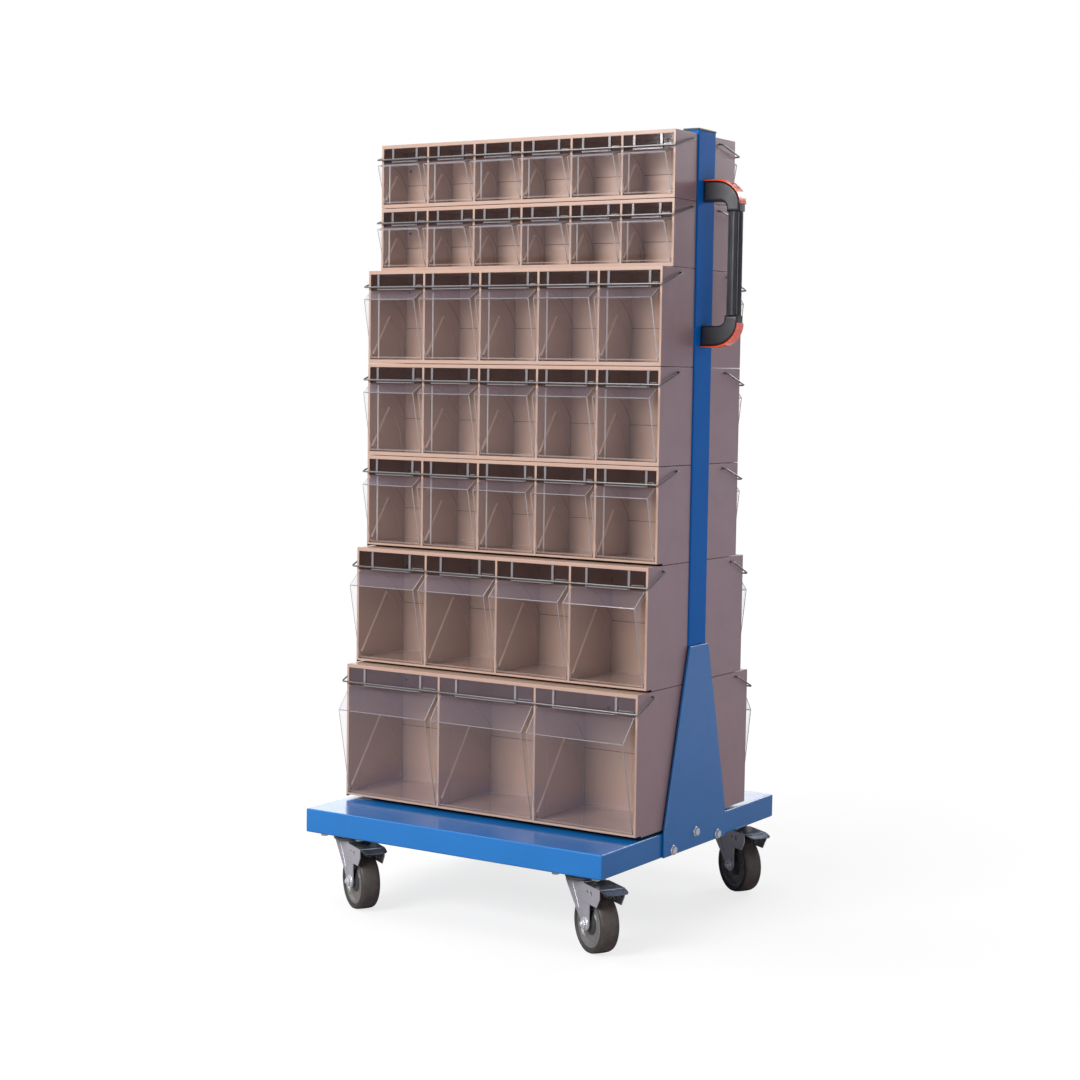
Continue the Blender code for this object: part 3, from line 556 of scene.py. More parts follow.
def add_mix(tree, *sources):
    """Mixes two colours. The sources are the factor and the colours that it leads from and to."""
    mix = tree.nodes.new("ShaderNodeMix")
    mix.data_type = "RGBA"
    for source, socket in zip(sources, [socket for socket in mix.inputs if socket.enabled]):
        tree.links.new(source, socket)
    return [socket for socket in mix.outputs if socket.enabled][0]


def add_math(tree, operation, *values):
    node = tree.nodes.new("ShaderNodeMath")
    node.operation = operation
    node.use_clamp = True
    feed(tree, node, dict(enumerate(values)))
    return node.outputs["Value"]


def add_bump(tree, height, strength, distance):
    return add_node(tree, "Bump", "Normal", {"Height": height, "Strength": strength, "Distance": distance})


def finish(name, dark, light, roughness, metallic=0.0, patch=18.0, grain=900.0, bump=0.15, spread=0.06,
           stretch=(1, 1, 1), coat=0.0, specular=0.5):
    """A finish with patchy colour, uneven gloss and a fine grain."""
    material, tree, shader = new_material(name)
    place = add_node(tree, "TexCoord", "Object")
    patches = add_noise(tree, place, patch, 4.0, stretch)
    gloss = add_noise(tree, place, patch * GLOSS_FINENESS, 3.0, stretch)
    feed(tree, shader, {
        "Base Color": add_ramp(tree, patches, dark, light, NOISE_LOW, NOISE_HIGH),
        "Roughness": add_range(tree, gloss, roughness - spread, roughness + spread),
        "Normal": add_bump(tree, add_noise(tree, place, grain, 2.0, stretch), bump, GRAIN_DEPTH),
        "Metallic": metallic, "Coat Weight": coat, "Coat Roughness": COAT_ROUGHNESS, "Specular IOR Level": specular,
    })
    return material


def clear_finish(name, colour, base, gain, roughness, metallic):
    """A sheet of clear plastic: nearly see-through face on, and mirror-like along it, the same from both sides.
    With a dark or bright colour and a high base it also makes painted shade and painted highlights.
    """
    material, tree, shader = new_material(name)
    place = add_node(tree, "TexCoord", "Object")
    along = add_math(tree, "POWER", add_node(tree, "LayerWeight", "Facing"), SCHLICK_POWER)
    feed(tree, shader, {
        "Base Color": (*colour, 1.0), "Metallic": metallic,
        "Roughness": add_range(tree, add_noise(tree, place, HAZE_SCALE), roughness, roughness + HAZE_SPREAD),
        "Alpha": add_math(tree, "MULTIPLY_ADD", along, gain, base),
        "Normal": add_bump(tree, add_noise(tree, place, RIPPLE_SCALE, 2.0), *RIPPLE),
    })
    return material


BLUE = finish("blue_paint", (0.008, 0.155, 0.46), (0.010, 0.168, 0.50), 0.22, patch=9, grain=700, bump=0.03,
              spread=0.03, coat=0.30, specular=0.4)
POST_BLUE = finish("blue_post", (0.006, 0.128, 0.46), (0.008, 0.140, 0.50), 0.34, patch=9, grain=700, bump=0.03,
                   spread=0.03, specular=0.05)
BEIGE = finish("beige", (0.435, 0.293, 0.228), (0.465, 0.317, 0.249), 0.36, patch=14, grain=700, bump=0.06)
# Painted shade: a darker, lilac copy of the beige for the shells' outer side faces, standing in for their shade and
# the faint bluish reflection on them.
SHADED_SIDE_BEIGE = finish("beige_painted_side_shade", (0.305, 0.206, 0.224), (0.330, 0.224, 0.242), 0.34, patch=14, grain=700,
                    bump=0.05)
# Painted highlight: a lighter beige on the partitions' raised ridges, standing in for the light that their faces
# catch.
RIDGE_HIGHLIGHT_BEIGE = finish("beige_painted_highlight", (0.66, 0.48, 0.39), (0.74, 0.55, 0.45), 0.30, patch=40, bump=0.06)
# Near-black: painted shadow inside the notch under the lower racks' fronts, and the colour of the thin line across
# each cell's back wall.
GAP_SHADOW_AND_LINE = finish("gap", (0.020, 0.015, 0.013), (0.030, 0.022, 0.019), 0.80, patch=30, grain=500, specular=0.1)
CLEAR = clear_finish("clear", (0.94, 0.91, 0.96), 0.05, 0.9, 0.03, 0.95)
CLEAR_SLOPE = clear_finish("clear_slope", (0.35, 0.32, 0.41), 0.17, 0.9, 0.28, 0.4)
CLEAR_FRONT = clear_finish("clear_front", (0.74, 0.70, 0.80), 0.09, 0.9, 0.06, 0.5)
# Painted shade: the label windows' panes are dark sheets that stand in for the shade inside the top of each cell;
# the lowest row's are a lighter lilac-grey.
WINDOW_SHADE = clear_finish("window_painted_shade", (0.022, 0.014, 0.014), 0.60, 0.4, 0.05, 0.0)
LOW_WINDOW_SHADE = clear_finish("low_window_painted_shade", (0.105, 0.085, 0.105), 0.50, 0.5, 0.05, 0.0)
CLEAR_EDGE = clear_finish("clear_edge", (0.33, 0.31, 0.32), 0.86, 0.14, 0.15, 0.3)
# Painted highlight: the bins' inner ribs are a near-opaque bright white, standing in for the light that the clear
# ribs catch.
RIB_HIGHLIGHT_CLEAR = clear_finish("clear_rib_painted_highlight", (0.95, 0.91, 0.89), 0.92, 0.08, 0.25, 0.1)
CLEAR_RIM = clear_finish("clear_rim", (0.60, 0.52, 0.49), 0.38, 0.4, 0.2, 0.2)
WIRE = finish("steel_wire", (0.17, 0.165, 0.165), (0.27, 0.26, 0.26), 0.36, 0.8, patch=60, grain=1500,
              stretch=(0.05, 1, 1))
ZINC = finish("zinc", (0.41, 0.405, 0.45), (0.47, 0.465, 0.50), 0.30, 0.45, patch=30, bump=0.02, spread=0.02)
DARK_ZINC = finish("dark_zinc", (0.085, 0.100, 0.115), (0.17, 0.19, 0.21), 0.22, 0.7, patch=35, bump=0.05)
BOLT_ZINC = finish("bolt_zinc", (0.42, 0.40, 0.36), (0.66, 0.64, 0.60), 0.30, 0.9, patch=160, grain=2000)
BRIGHT_ZINC = finish("bright_zinc", (0.72, 0.74, 0.78), (0.88, 0.90, 0.92), 0.20, 0.6, patch=220, grain=2000)
BLACK = finish("black_plastic", (0.018, 0.018, 0.022), (0.030, 0.030, 0.036), 0.42, patch=30, grain=1300,
               bump=0.35)
ORANGE = finish("orange_cover", (0.92, 0.085, 0.018), (0.98, 0.110, 0.024), 0.18, patch=12, grain=400, bump=0.04,
                coat=0.4)
TYRE = finish("tyre_rubber", (0.055, 0.044, 0.040), (0.090, 0.074, 0.066), 0.62, patch=70, grain=1500, bump=0.4)
TYRE_SIDE = finish("tyre_side", (0.030, 0.031, 0.030), (0.048, 0.048, 0.046), 0.50, patch=70, grain=1500,
                   bump=0.3)
CORE = finish("wheel_core", (0.125, 0.118, 0.115), (0.195, 0.183, 0.178), 0.30, patch=50, grain=1200, spread=0.10)
HUB = finish("wheel_hub", (0.030, 0.034, 0.036), (0.050, 0.054, 0.058), 0.40, patch=60, grain=1200)

SHELL_FINISHES = (BEIGE, RIDGE_HIGHLIGHT_BEIGE, GAP_SHADOW_AND_LINE, SHADED_SIDE_BEIGE)
RIDGE_HIGHLIGHT, DARK, SHADED_SIDE = 1, 2, 3
BIN_FINISHES = (CLEAR, CLEAR_EDGE, CLEAR_SLOPE, RIB_HIGHLIGHT_CLEAR, CLEAR_RIM, CLEAR_FRONT)
PANE, EDGE, SLOPE, RIB_HIGHLIGHT, RIM, FRONT = range(6)


# Racks

def rack_sizes(kind, height, depth):
    rack = SimpleNamespace(**dict(zip(RACK_SIZES, RACKS[kind])), height=height, depth=depth)
    rack.cell = (2 * RACK_HALF - (rack.cells + 1) * SIDE_WALL) / rack.cells
    rack.pitch = rack.cell + SIDE_WALL
    rack.starts = [SIDE_WALL - RACK_HALF + i * rack.pitch for i in range(rack.cells)]
    rack.window_low = height - rack.wire_drop - WINDOW_BELOW_WIRE
    rack.pivot = Vector((BIN_TOE, LIP + BIN_FLOOR_GAP + BIN_TOE))
    return rack


def add_strip(shape, points, width, wall, proud, index=0):
    """A raised line on a partition's face, through (y, z) points. The wall is at x, and it stands proud of it."""
    rings = []
    for before, point, after in zip(points[:1] + points, points, points[1:] + points[-1:]):
        direction = (after - before).normalized()
        side = Vector((-direction.y, direction.x)) * width / 2
        ring = []
        for reach, x in ((1, wall), (STRIP_TOP_SHARE, wall + proud), (-STRIP_TOP_SHARE, wall + proud), (-1, wall)):
            ring.append((x, *(point + side * reach)))
        rings.append(ring)
    for face in add_rings(shape, rings):
        face.material_index = index


def partition_lines(rack):
    """The raised lines on each partition: a straight ridge from the bins' pivot, and two arcs about it."""
    ridge = [rack.pivot + polar(rack.sector * reach, SECTOR_RISE) for reach in RIDGE_REACHES]
    arcs = []
    for radius, rise, steps in (
        (rack.sector, SECTOR_RISE, ARC_STEPS), (rack.height - OUTER_ARC_DROP, math.pi / 2, 2 * ARC_STEPS),
    ):
        points = arc(rack.pivot, radius, rise, 0.0, steps)
        arcs.append([p for p in points if p.x < rack.depth - BACK_WALL and p.y < rack.height - LIP])
    return ridge, *arcs


def shell_mesh(kind, rack, notched):
    """The rack's moulded shell with its open cells, raised lines, and the holes for pins, wire and screws."""
    top = rack.height - STACK_GAP
    back = rack.depth - BACK_WALL
    cells = bmesh.new()
    for start in rack.starts:
        add_box(cells, (start, -OVERRUN, LIP), (start + rack.cell, back, top - LIP))
    holes = bmesh.new()
    reach = RACK_HALF - OVERRUN / 2
    add_rod(holes, PIN_HOLE_RADIUS, -reach, reach, along_x((0, *rack.pivot)))
    half = SIDE_WALL / 2 + OVERRUN
    spots = [(SCREW_X, rack.screw_drop + SLOT_DROP, SLOT_RADIUS)]
    if rack.hole_drop:
        spots.append((HOLE_X, rack.hole_drop, HOLE_RADIUS))
    for side in (-1, 1):
        place = (side * (RACK_HALF - SIDE_WALL / 2), rack.hinge_back, rack.height - rack.hinge_drop)
        add_rod(holes, WIRE_HOLE_RADIUS, -half, half, along_x(place), 20)
        for x, drop, radius in spots:
            add_rod(holes, radius, -OVERRUN, OVERRUN, along_y((side * x, back, rack.height - drop)))
    if notched:
        notch_low = (NOTCH_END - RACK_HALF, -OVERRUN, -OVERRUN)
        add_box(holes, notch_low, (RACK_HALF + OVERRUN, NOTCH_DEPTH, NOTCH_HEIGHT))
    block = finish_mesh("shell_" + kind, boxed((-RACK_HALF, 0, 0), (RACK_HALF, rack.depth, top)), BEIGE)
    shape = bmesh.new()
    shape.from_mesh(modified(block, cut(cells), rounded(SHELL_BEVEL), cut(holes)))
    for face in shape.faces:
        middle = face.calc_center_median()
        # The faces inside the notch are painted near-black: painted shadow in the gap between racks.
        if notched and 0.0 < middle.y <= NOTCH_DEPTH + SEAM and SEAM < middle.z <= NOTCH_HEIGHT + SEAM:
            face.material_index = DARK
        # The outer side faces take the beige with painted shade.
        if abs(middle.x) > RACK_HALF - SEAM:
            face.material_index = SHADED_SIDE
    ridge, inner_arc, outer_arc = partition_lines(rack)
    for start in rack.starts:
        end = start + rack.cell
        for wall, side in ((start, 1), (end, -1)):
            # The ridge takes the lighter beige of painted highlight; the arcs keep the plain beige.
            add_strip(shape, ridge, RIDGE_WIDTH, wall, side * RIDGE_PROUD, RIDGE_HIGHLIGHT)
            add_strip(shape, inner_arc, ARC_WIDTH, wall, side * RIDGE_PROUD)
            add_strip(shape, outer_arc, ARC_WIDTH, wall, side * OUTER_ARC_PROUD)
        # A thin raised line across each cell's back wall, in the same near-black finish.
        paint(add_box(shape, (start, back - LINE_PROUD, rack.line), (end, back, rack.line + LINE_WIDTH)), DARK)
    return modified(finish_mesh("shell_" + kind, shape, *SHELL_FINISHES), EVEN_SHADING)


def window_mesh(kind, rack):
    """The label windows, each with two upright ribs, a toothed ledge between them and a lug beside them. Their
    panes are dark sheets of painted shade.
    """
    top = rack.height - STACK_GAP - LIP - WINDOW_GAP
    low = rack.window_low
    ledge_top = low + LEDGE_HEIGHT
    lug_low = low + LUG_RISE
    shape = bmesh.new()
    panes = []
    for start in rack.starts:
        left = start + WINDOW_GAP
        right = start + rack.cell - WINDOW_GAP
        panes.append(add_box(shape, (left, WINDOW_FRONT, low), (right, WINDOW_BACK, top)))
        middle = (left + right) / 2
        ribs = [middle + side * rack.rib * rack.pitch for side in (-1, 1)]
        boxes = [((x - RIB_WIDTH / 2, -RIB_PROUD, low), (x + RIB_WIDTH / 2, WINDOW_BACK, top)) for x in ribs]
        boxes.append(((ribs[0], -LEDGE_REACH, low), (ribs[1], WINDOW_FRONT, ledge_top)))
        lug_start = ribs[1] + RIB_WIDTH
        boxes.append(((lug_start, -RIB_PROUD / 2, lug_low), (right - LUG_GAP, WINDOW_FRONT, lug_low + LUG_HEIGHT)))
        for k in range(int((ribs[1] - ribs[0]) / TOOTH_PITCH)):
            x = ribs[0] + (k + 0.25) * TOOTH_PITCH
            tooth_high = (x + TOOTH_PITCH / 2, -RIB_PROUD, ledge_top + LEDGE_HEIGHT)
            boxes.append(((x, -LEDGE_REACH, ledge_top), tooth_high))
        for box in boxes:
            paint(add_box(shape, *box), EDGE)
    shape.normal_update()
    for pane in panes:
        faces = {face for vert in pane for face in vert.link_faces}
        for face in faces:
            face.material_index = EDGE if abs(face.normal.y) < FACING else PANE
        bmesh.ops.delete(shape, geom=[face for face in faces if face.normal.y > FACING], context="FACES_ONLY")
    # Painted shade on the window panes, lighter on the lowest row.
    shade_sheet = LOW_WINDOW_SHADE if kind == LOWEST_ROW_KIND else WINDOW_SHADE
    return finish_mesh("window_" + kind, shape, shade_sheet, CLEAR_EDGE, angle=FLAT)


def bin_outline(rack):
    """A bin from its side: its walls from the front rim round the toe to the back rim, and the curved rim."""
    pivot = rack.pivot
    radius = rack.window_low - BIN_TOP_GAP - pivot.y
    top_front = Vector((0.0, pivot.y + math.sqrt(radius**2 - pivot.x**2)))
    deepest = rack.depth - BACK_WALL - BIN_BACK_GAP
    back = min(deepest, pivot.x + math.sqrt(radius**2 - BIN_BACK_RISE**2))
    top_back = Vector((back, pivot.y + math.sqrt(radius**2 - (back - pivot.x) ** 2)))
    nose = Vector((-rack.nose, rack.height - rack.nose_drop))
    toe = arc(pivot, BIN_TOE, math.pi, 1.5 * math.pi, 3)
    first, last = (math.atan2(*(point - pivot).yx) for point in (top_back, top_front))
    rim = arc(pivot, radius, first, last, 8)[1:-1]
    return [top_front, nose, *toe, Vector((back, pivot.y - BIN_TOE)), top_back], rim


def crossing(point_a, direction_a, point_b, direction_b):
    return point_a + direction_a * (point_b - point_a).cross(direction_b) / direction_a.cross(direction_b)


def inset_walls(walls, rim, thickness):
    """The inner side of a chain of walls. Its two ends lie on the rim's first and last lines."""
    lines = [(walls[0], (rim[-1] - walls[0]).normalized())]
    for start, end in zip(walls, walls[1:]):
        direction = (end - start).normalized()
        lines.append((start + Vector((-direction.y, direction.x)) * thickness, direction))
    lines.append((walls[-1], (rim[0] - walls[-1]).normalized()))
    return [crossing(*a, *b) for a, b in zip(lines, lines[1:])]


def add_bin_side(shape, walls, rim, low, high):
    """A bin's skin between two levels of x, open at the rim. Gives its two loops of points and its creases."""
    loops = []
    for x, inward in ((low, 1), (high, -1)):
        loop = []
        for i, point in enumerate((*walls, *rim)):
            shift = inward * BIN_NOSE_INSET if i == NOSE else 0.0
            loop.append(shape.verts.new((x + shift, *point)))
        shape.faces.new(loop)
        loops.append(loop)
    left, right = loops
    last = len(walls) - 1
    creases = [(left[NOSE], right[NOSE]), (left[last - 1], right[last - 1])]
    for i in range(last):
        face = shape.faces.new((left[i], left[i + 1], right[i + 1], right[i]))
        face.material_index = {0: SLOPE, NOSE + 1: RIM}.get(i, PANE)
        creases += [(left[i], left[i + 1]), (right[i], right[i + 1])]
    return left, right, [shape.edges.get(pair) for pair in creases]


def band_creases(shape, creases, width):
    """Gives the creases a narrow band in the edge finish."""
    bmesh.ops.recalc_face_normals(shape, faces=shape.faces)
    bevel_edges(shape, creases, width, 1, EDGE)


def bins_mesh(kind, rack):
    """A rack's bins: skins with thick rims, and of their inner sides only the creases, so that they stay clear."""
    walls, rim = bin_outline(rack)
    inner = inset_walls(walls, rim, BIN_WALL)
    last = len(walls) - 1
    shape, lining, edges, ribs, faint = (bmesh.new() for _ in range(5))
    skin_creases = []
    lining_creases = []
    outer_edge = Vector((0, -BIN_EDGE_PROUD, 0))
    rib_back = rack.depth * BIN_RIB_SHARE
    for start in rack.starts:
        low = start + BIN_SIDE_GAP
        high = start + rack.cell - BIN_SIDE_GAP
        left, right, creases = add_bin_side(shape, walls, rim, low, high)
        skin_creases += creases
        into_left, into_right, creases = add_bin_side(lining, inner, rim, low + BIN_WALL, high - BIN_WALL)
        lining_creases += creases
        for out, into in ((left, into_left), (right, into_right)):
            pairs = [(out[i].co, into[i].co) for i in (*range(last, len(out)), 0)]
            for (a, b), (c, d) in zip(pairs, pairs[1:]):
                add_face(edges, a, c, d, b)
        for i, target in ((0, edges), (last, faint)):
            add_face(target, left[i].co, right[i].co, into_right[i].co, into_left[i].co)
        for loop, inward in ((left, 1), (right, -1)):
            inner_edge = Vector((inward * BIN_EDGE_WIDTH, -BIN_EDGE_PROUD, 0))
            for a, b in zip(loop[:NOSE + 1], loop[1:NOSE + 2]):
                add_face(edges, a.co + outer_edge, b.co + outer_edge, b.co + inner_edge, a.co + inner_edge)
        for x, out in ((low, -1), (high, 1)):
            axle = along_x((x, *rack.pivot))
            proud = out * BOSS_PROUD
            boss = ((PIN_RADIUS, 0), (BOSS_RADIUS, 0), (BOSS_RADIUS, proud), (PIN_RADIUS, proud))
            add_turned(edges, boss, 20, axle, closed=True)
            add_rod(edges, PIN_RADIUS, 0, out * (BIN_SIDE_GAP + SIDE_WALL / 2), axle)
            near, far = sorted((x, x - out * (BIN_WALL + BIN_RIB_PROUD)))
            rib_low = (near, rib_back, rack.pivot.y - BIN_TOE + BIN_WALL)
            add_box(ribs, rib_low, (far, rib_back + BIN_RIB_WIDTH, rim[-1].y - BIN_WALL))
    band_creases(shape, skin_creases, BIN_BEVEL)
    band_creases(lining, lining_creases, LINING_BEVEL)
    bmesh.ops.delete(lining, geom=[face for face in lining.faces if face.material_index != EDGE], context="FACES")
    add_part(shape, lining, EDGE)
    add_part(shape, edges, EDGE)
    add_part(shape, faint, PANE)
    # In the six and five racks the ribs take the painted highlight; elsewhere they stay clear.
    add_part(shape, ribs, RIB_HIGHLIGHT if kind in BRIGHT_RIB_KINDS else PANE)
    for face in shape.faces:
        if face.material_index == EDGE and face.calc_center_median().y > FRONT_SHARE * rack.depth:
            face.material_index = RIM
        if kind == LOWEST_ROW_KIND and face.material_index == PANE and face.normal.y < -FACING:
            face.material_index = FRONT
    return finish_mesh("bins_" + kind, shape, *BIN_FINISHES, angle=FLAT)


def bail_mesh(kind, rack):
    """The bail as one bent wire in the rack's frame."""
    hinge = Vector((0, rack.hinge_back, rack.height - rack.hinge_drop))
    front = Vector((0, -WIRE_FRONT_GAP - WIRE_RADIUS, rack.height - rack.wire_drop))
    along = (front - hinge).normalized()
    across = Vector((1, 0, 0))
    points = [hinge + across * (RACK_HALF - WIRE_END_DEPTH)]
    for end, into, away in ((hinge, across, along), (front, along, -across)):
        centre = end + across * WIRE_X - into * WIRE_BEND + away * WIRE_BEND
        for step in range(BEND_STEPS + 1):
            angle = math.pi / 2 * step / BEND_STEPS
            points.append(centre + WIRE_BEND * (into * math.sin(angle) - away * math.cos(angle)))
    points += [Vector((-point.x, point.y, point.z)) for point in reversed(points)]
    curve = bpy.data.curves.new("bail_" + kind, "CURVE")
    curve.dimensions = "3D"
    curve.bevel_depth = WIRE_RADIUS
    curve.bevel_resolution = 3
    curve.use_fill_caps = True
    spline = curve.splines.new("POLY")
    spline.points.add(len(points) - 1)
    for target, point in zip(spline.points, points):
        target.co = (*point, 1.0)
    curve.materials.append(WIRE)
    return modified(curve)


def screws_mesh(kind, rack):
    """The pan head screws that hold the rack to the posts, sunk in the middle, each on a thin round seat."""
    shape = bmesh.new()
    head = [(SCREW_RADIUS * share, SCREW_HEIGHT * rise) for share, rise in SCREW_SHARES]
    inner, outer = (SCREW_RADIUS * share for share in SEAT_SHARES)
    seat = ((inner, 0.0), (outer, 0.0), (outer, -SEAT_HEIGHT), (inner, -SEAT_HEIGHT))
    for side in (-1, 1):
        place = along_y((side * SCREW_X, rack.depth - BACK_WALL, rack.height - rack.screw_drop))
        add_turned(shape, head, 24, place)
        add_turned(shape, seat, 24, place, closed=True)
    return finish_mesh("screws_" + kind, shape, ZINC)


def build_racks():
    made = {}
    for side, turn in FACE_TURN.items():
        for row, kind in enumerate(ROWS, start=1):
            tag = f"{side}_row_{row}"
            low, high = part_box("housing_" + tag)
            rack = rack_sizes(kind, high.z - low.z + STACK_GAP, high.y - low.y)
            notched = row >= FIRST_NOTCHED_ROW
            if kind not in made:
                made[kind] = [build(kind, rack) for build in (window_mesh, bins_mesh, bail_mesh, screws_mesh)]
            if (kind, notched) not in made:
                made[kind, notched] = shell_mesh(kind, rack, notched)
            window, bins, bail, screws = made[kind]
            front = low.y if side == "front" else high.y
            place = Matrix.Translation(((low.x + high.x) / 2, front, low.z)) @ Matrix.Rotation(turn, 4, "Z")
            add_piece("shell_" + tag, made[kind, notched], ROOT, place, ["housing_" + tag])
            add_piece("windows_" + tag, window, ROOT, place)
            add_piece("screws_" + tag, screws, ROOT, place)
            add_piece("clear_bins_" + tag, bins, "bins_" + tag, place, ["bins_" + tag])
            add_piece("wire_" + tag, bail, "bail_" + tag, place, ["bail_" + tag])


# Frame

def add_bolt(shape, matrix, radius=BOLT_RADIUS, height=BOLT_HEAD_HEIGHT, washer=WASHER_RADIUS):
    """A hexagon head with a chamfered top on a washer, standing on local Z."""
    edge = washer - WASHER_CHAMFER
    ring = ((edge, 0), (washer, WASHER_CHAMFER), (washer, WASHER_HEIGHT - WASHER_CHAMFER), (edge, WASHER_HEIGHT))
    head = ((radius, WASHER_HEIGHT), (radius, height - BOLT_CHAMFER), (radius * BOLT_TOP_SHARE, height))
    add_turned(shape, ring, 28, matrix)
    add_turned(shape, head, 6, matrix)


def build_posts(centre):
    half_x = POST_THICKNESS / 2
    half_y = POST_DEPTH / 2
    middle = POST_OUTER - half_x
    seat = POST_OUTER + PLATE_GAP
    base_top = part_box("base_platform")[1].z
    foot = (
        (-PLATE_HALF_WIDTH, BASE_BOTTOM), (PLATE_HALF_WIDTH, BASE_BOTTOM), (PLATE_HALF_WIDTH, base_top),
        (PLATE_TOP_HALF_WIDTH, base_top + PLATE_RISE), (-PLATE_TOP_HALF_WIDTH, base_top + PLATE_RISE),
        (-PLATE_HALF_WIDTH, base_top),
    )
    for name, turn in (("post_right", 0.0), ("post_left", math.pi)):
        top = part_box(name)[1].z
        place = Matrix.Translation(centre) @ Matrix.Rotation(turn, 4, "Z")
        tube = slab(half_x, half_y, base_top + PLATE_GAP, top - CAP_THICKNESS, middle)
        upright = [edge for edge in tube.edges if abs(edge.verts[0].co.z - edge.verts[1].co.z) > half_y]
        bevel_edges(tube, upright, POST_CORNER, 4)
        add_fixed(name + "_tube", tube, POST_BLUE, place, "blue_paint", EVEN_SHADING, replaced=[name])
        cap = slab(half_x + CAP_OVERHANG, half_y + CAP_OVERHANG, top - CAP_THICKNESS, top, middle)
        add_fixed(name + "_cap", cap, BLACK, place, "black_plastic", rounded(CAP_BEVEL, 3), EVEN_SHADING)
        plate = prism(foot, seat, seat + PLATE_THICKNESS, 0)
        add_fixed(name + "_foot", plate, BLUE, place, "blue_paint", rounded(PLATE_BEVEL, 2, 30), EVEN_SHADING)
        bolts = bmesh.new()
        for y, rise in PLATE_BOLTS:
            add_bolt(bolts, along_x((seat + PLATE_THICKNESS, y, BASE_BOTTOM + rise)))
        add_fixed(name + "_bolts", bolts, BRIGHT_ZINC, place, "zinc")
        weld = bmesh.new()
        for y in (-half_y - WELD_ASIDE, half_y + WELD_ASIDE):
            rings = []
            for k in range(WELD_STEPS + 1):
                z = base_top + WELD_END + (PLATE_RISE - 2 * WELD_END) * k / WELD_STEPS
                points = circle(WELD_RADIUS + WELD_WAVE * math.sin(WELD_WAVE_STEP * k), 8)
                rings.append([(POST_OUTER - WELD_INSET + point.x, y + point.y, z) for point in points])
            add_rings(weld, rings)
        add_fixed(name + "_weld", weld, POST_BLUE, place, "blue_paint", angle=80)


def build_platform(centre):
    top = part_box("base_platform")[1].z
    half_y = BASE_DEPTH / 2
    place = Matrix.Translation(centre)
    tray = slab(POST_OUTER, half_y, BASE_BOTTOM, top)
    hollow = slab(POST_OUTER - BASE_WALL, half_y - BASE_WALL, BASE_BOTTOM + BASE_WALL, top - BASE_WALL)
    mouth = slab(POST_OUTER - BASE_RIM, half_y - BASE_RIM, BASE_BOTTOM - OVERRUN, top - 2 * BASE_WALL)
    add_fixed(
        "platform", tray, BLUE, place, "blue_paint",
        rounded(BASE_CORNER, 4, 60), cut(hollow), cut(mouth), EVEN_SHADING, replaced=["base_platform"],
    )
    plates = bmesh.new()
    bolts = bmesh.new()
    for x, y in corners(CASTER_X, CASTER_Y):
        plate = slab(MOUNT_HALF_X, MOUNT_HALF_Y, MOUNT_LOW, BASE_BOTTOM, x, y)
        plates.from_mesh(modified(finish_mesh("plate", plate), rounded(MOUNT_CORNER, 3, 60)))
        add_turned(plates, HEAD_PROFILE, 48, Matrix.Translation((x, y, 0)))
        for step_x, step_y in corners(MOUNT_BOLT_X, MOUNT_BOLT_Y):
            spot = Matrix.Translation((x + step_x, y + step_y, MOUNT_LOW))
            add_bolt(bolts, spot @ Matrix.Rotation(math.pi, 4, "X"), *MOUNT_BOLT)
    add_fixed("caster_plates", plates, ZINC, place, "zinc")
    add_fixed("caster_bolts", bolts, BOLT_ZINC, place, "zinc")


# Handle

def corner_curve(rise, straight, reach, drop):
    """The (x, z) points of a straight start and a quarter of an ellipse."""
    points = [(0.0, rise)]
    for step in range(ARC_STEPS + 1):
        angle = math.pi / 2 * step / ARC_STEPS
        points.append((straight + (reach - straight) * math.sin(angle), rise - drop + drop * math.cos(angle)))
    return points


def under_cover(gap):
    return corner_curve(HANDLE_HALF - COVER_FOOT_THICKNESS - gap, COVER_STRAIGHT - COVER_THICKNESS - gap,
                        HANDLE_REACH - SEAM - gap, COVER_DROP - COVER_FOOT_THICKNESS)


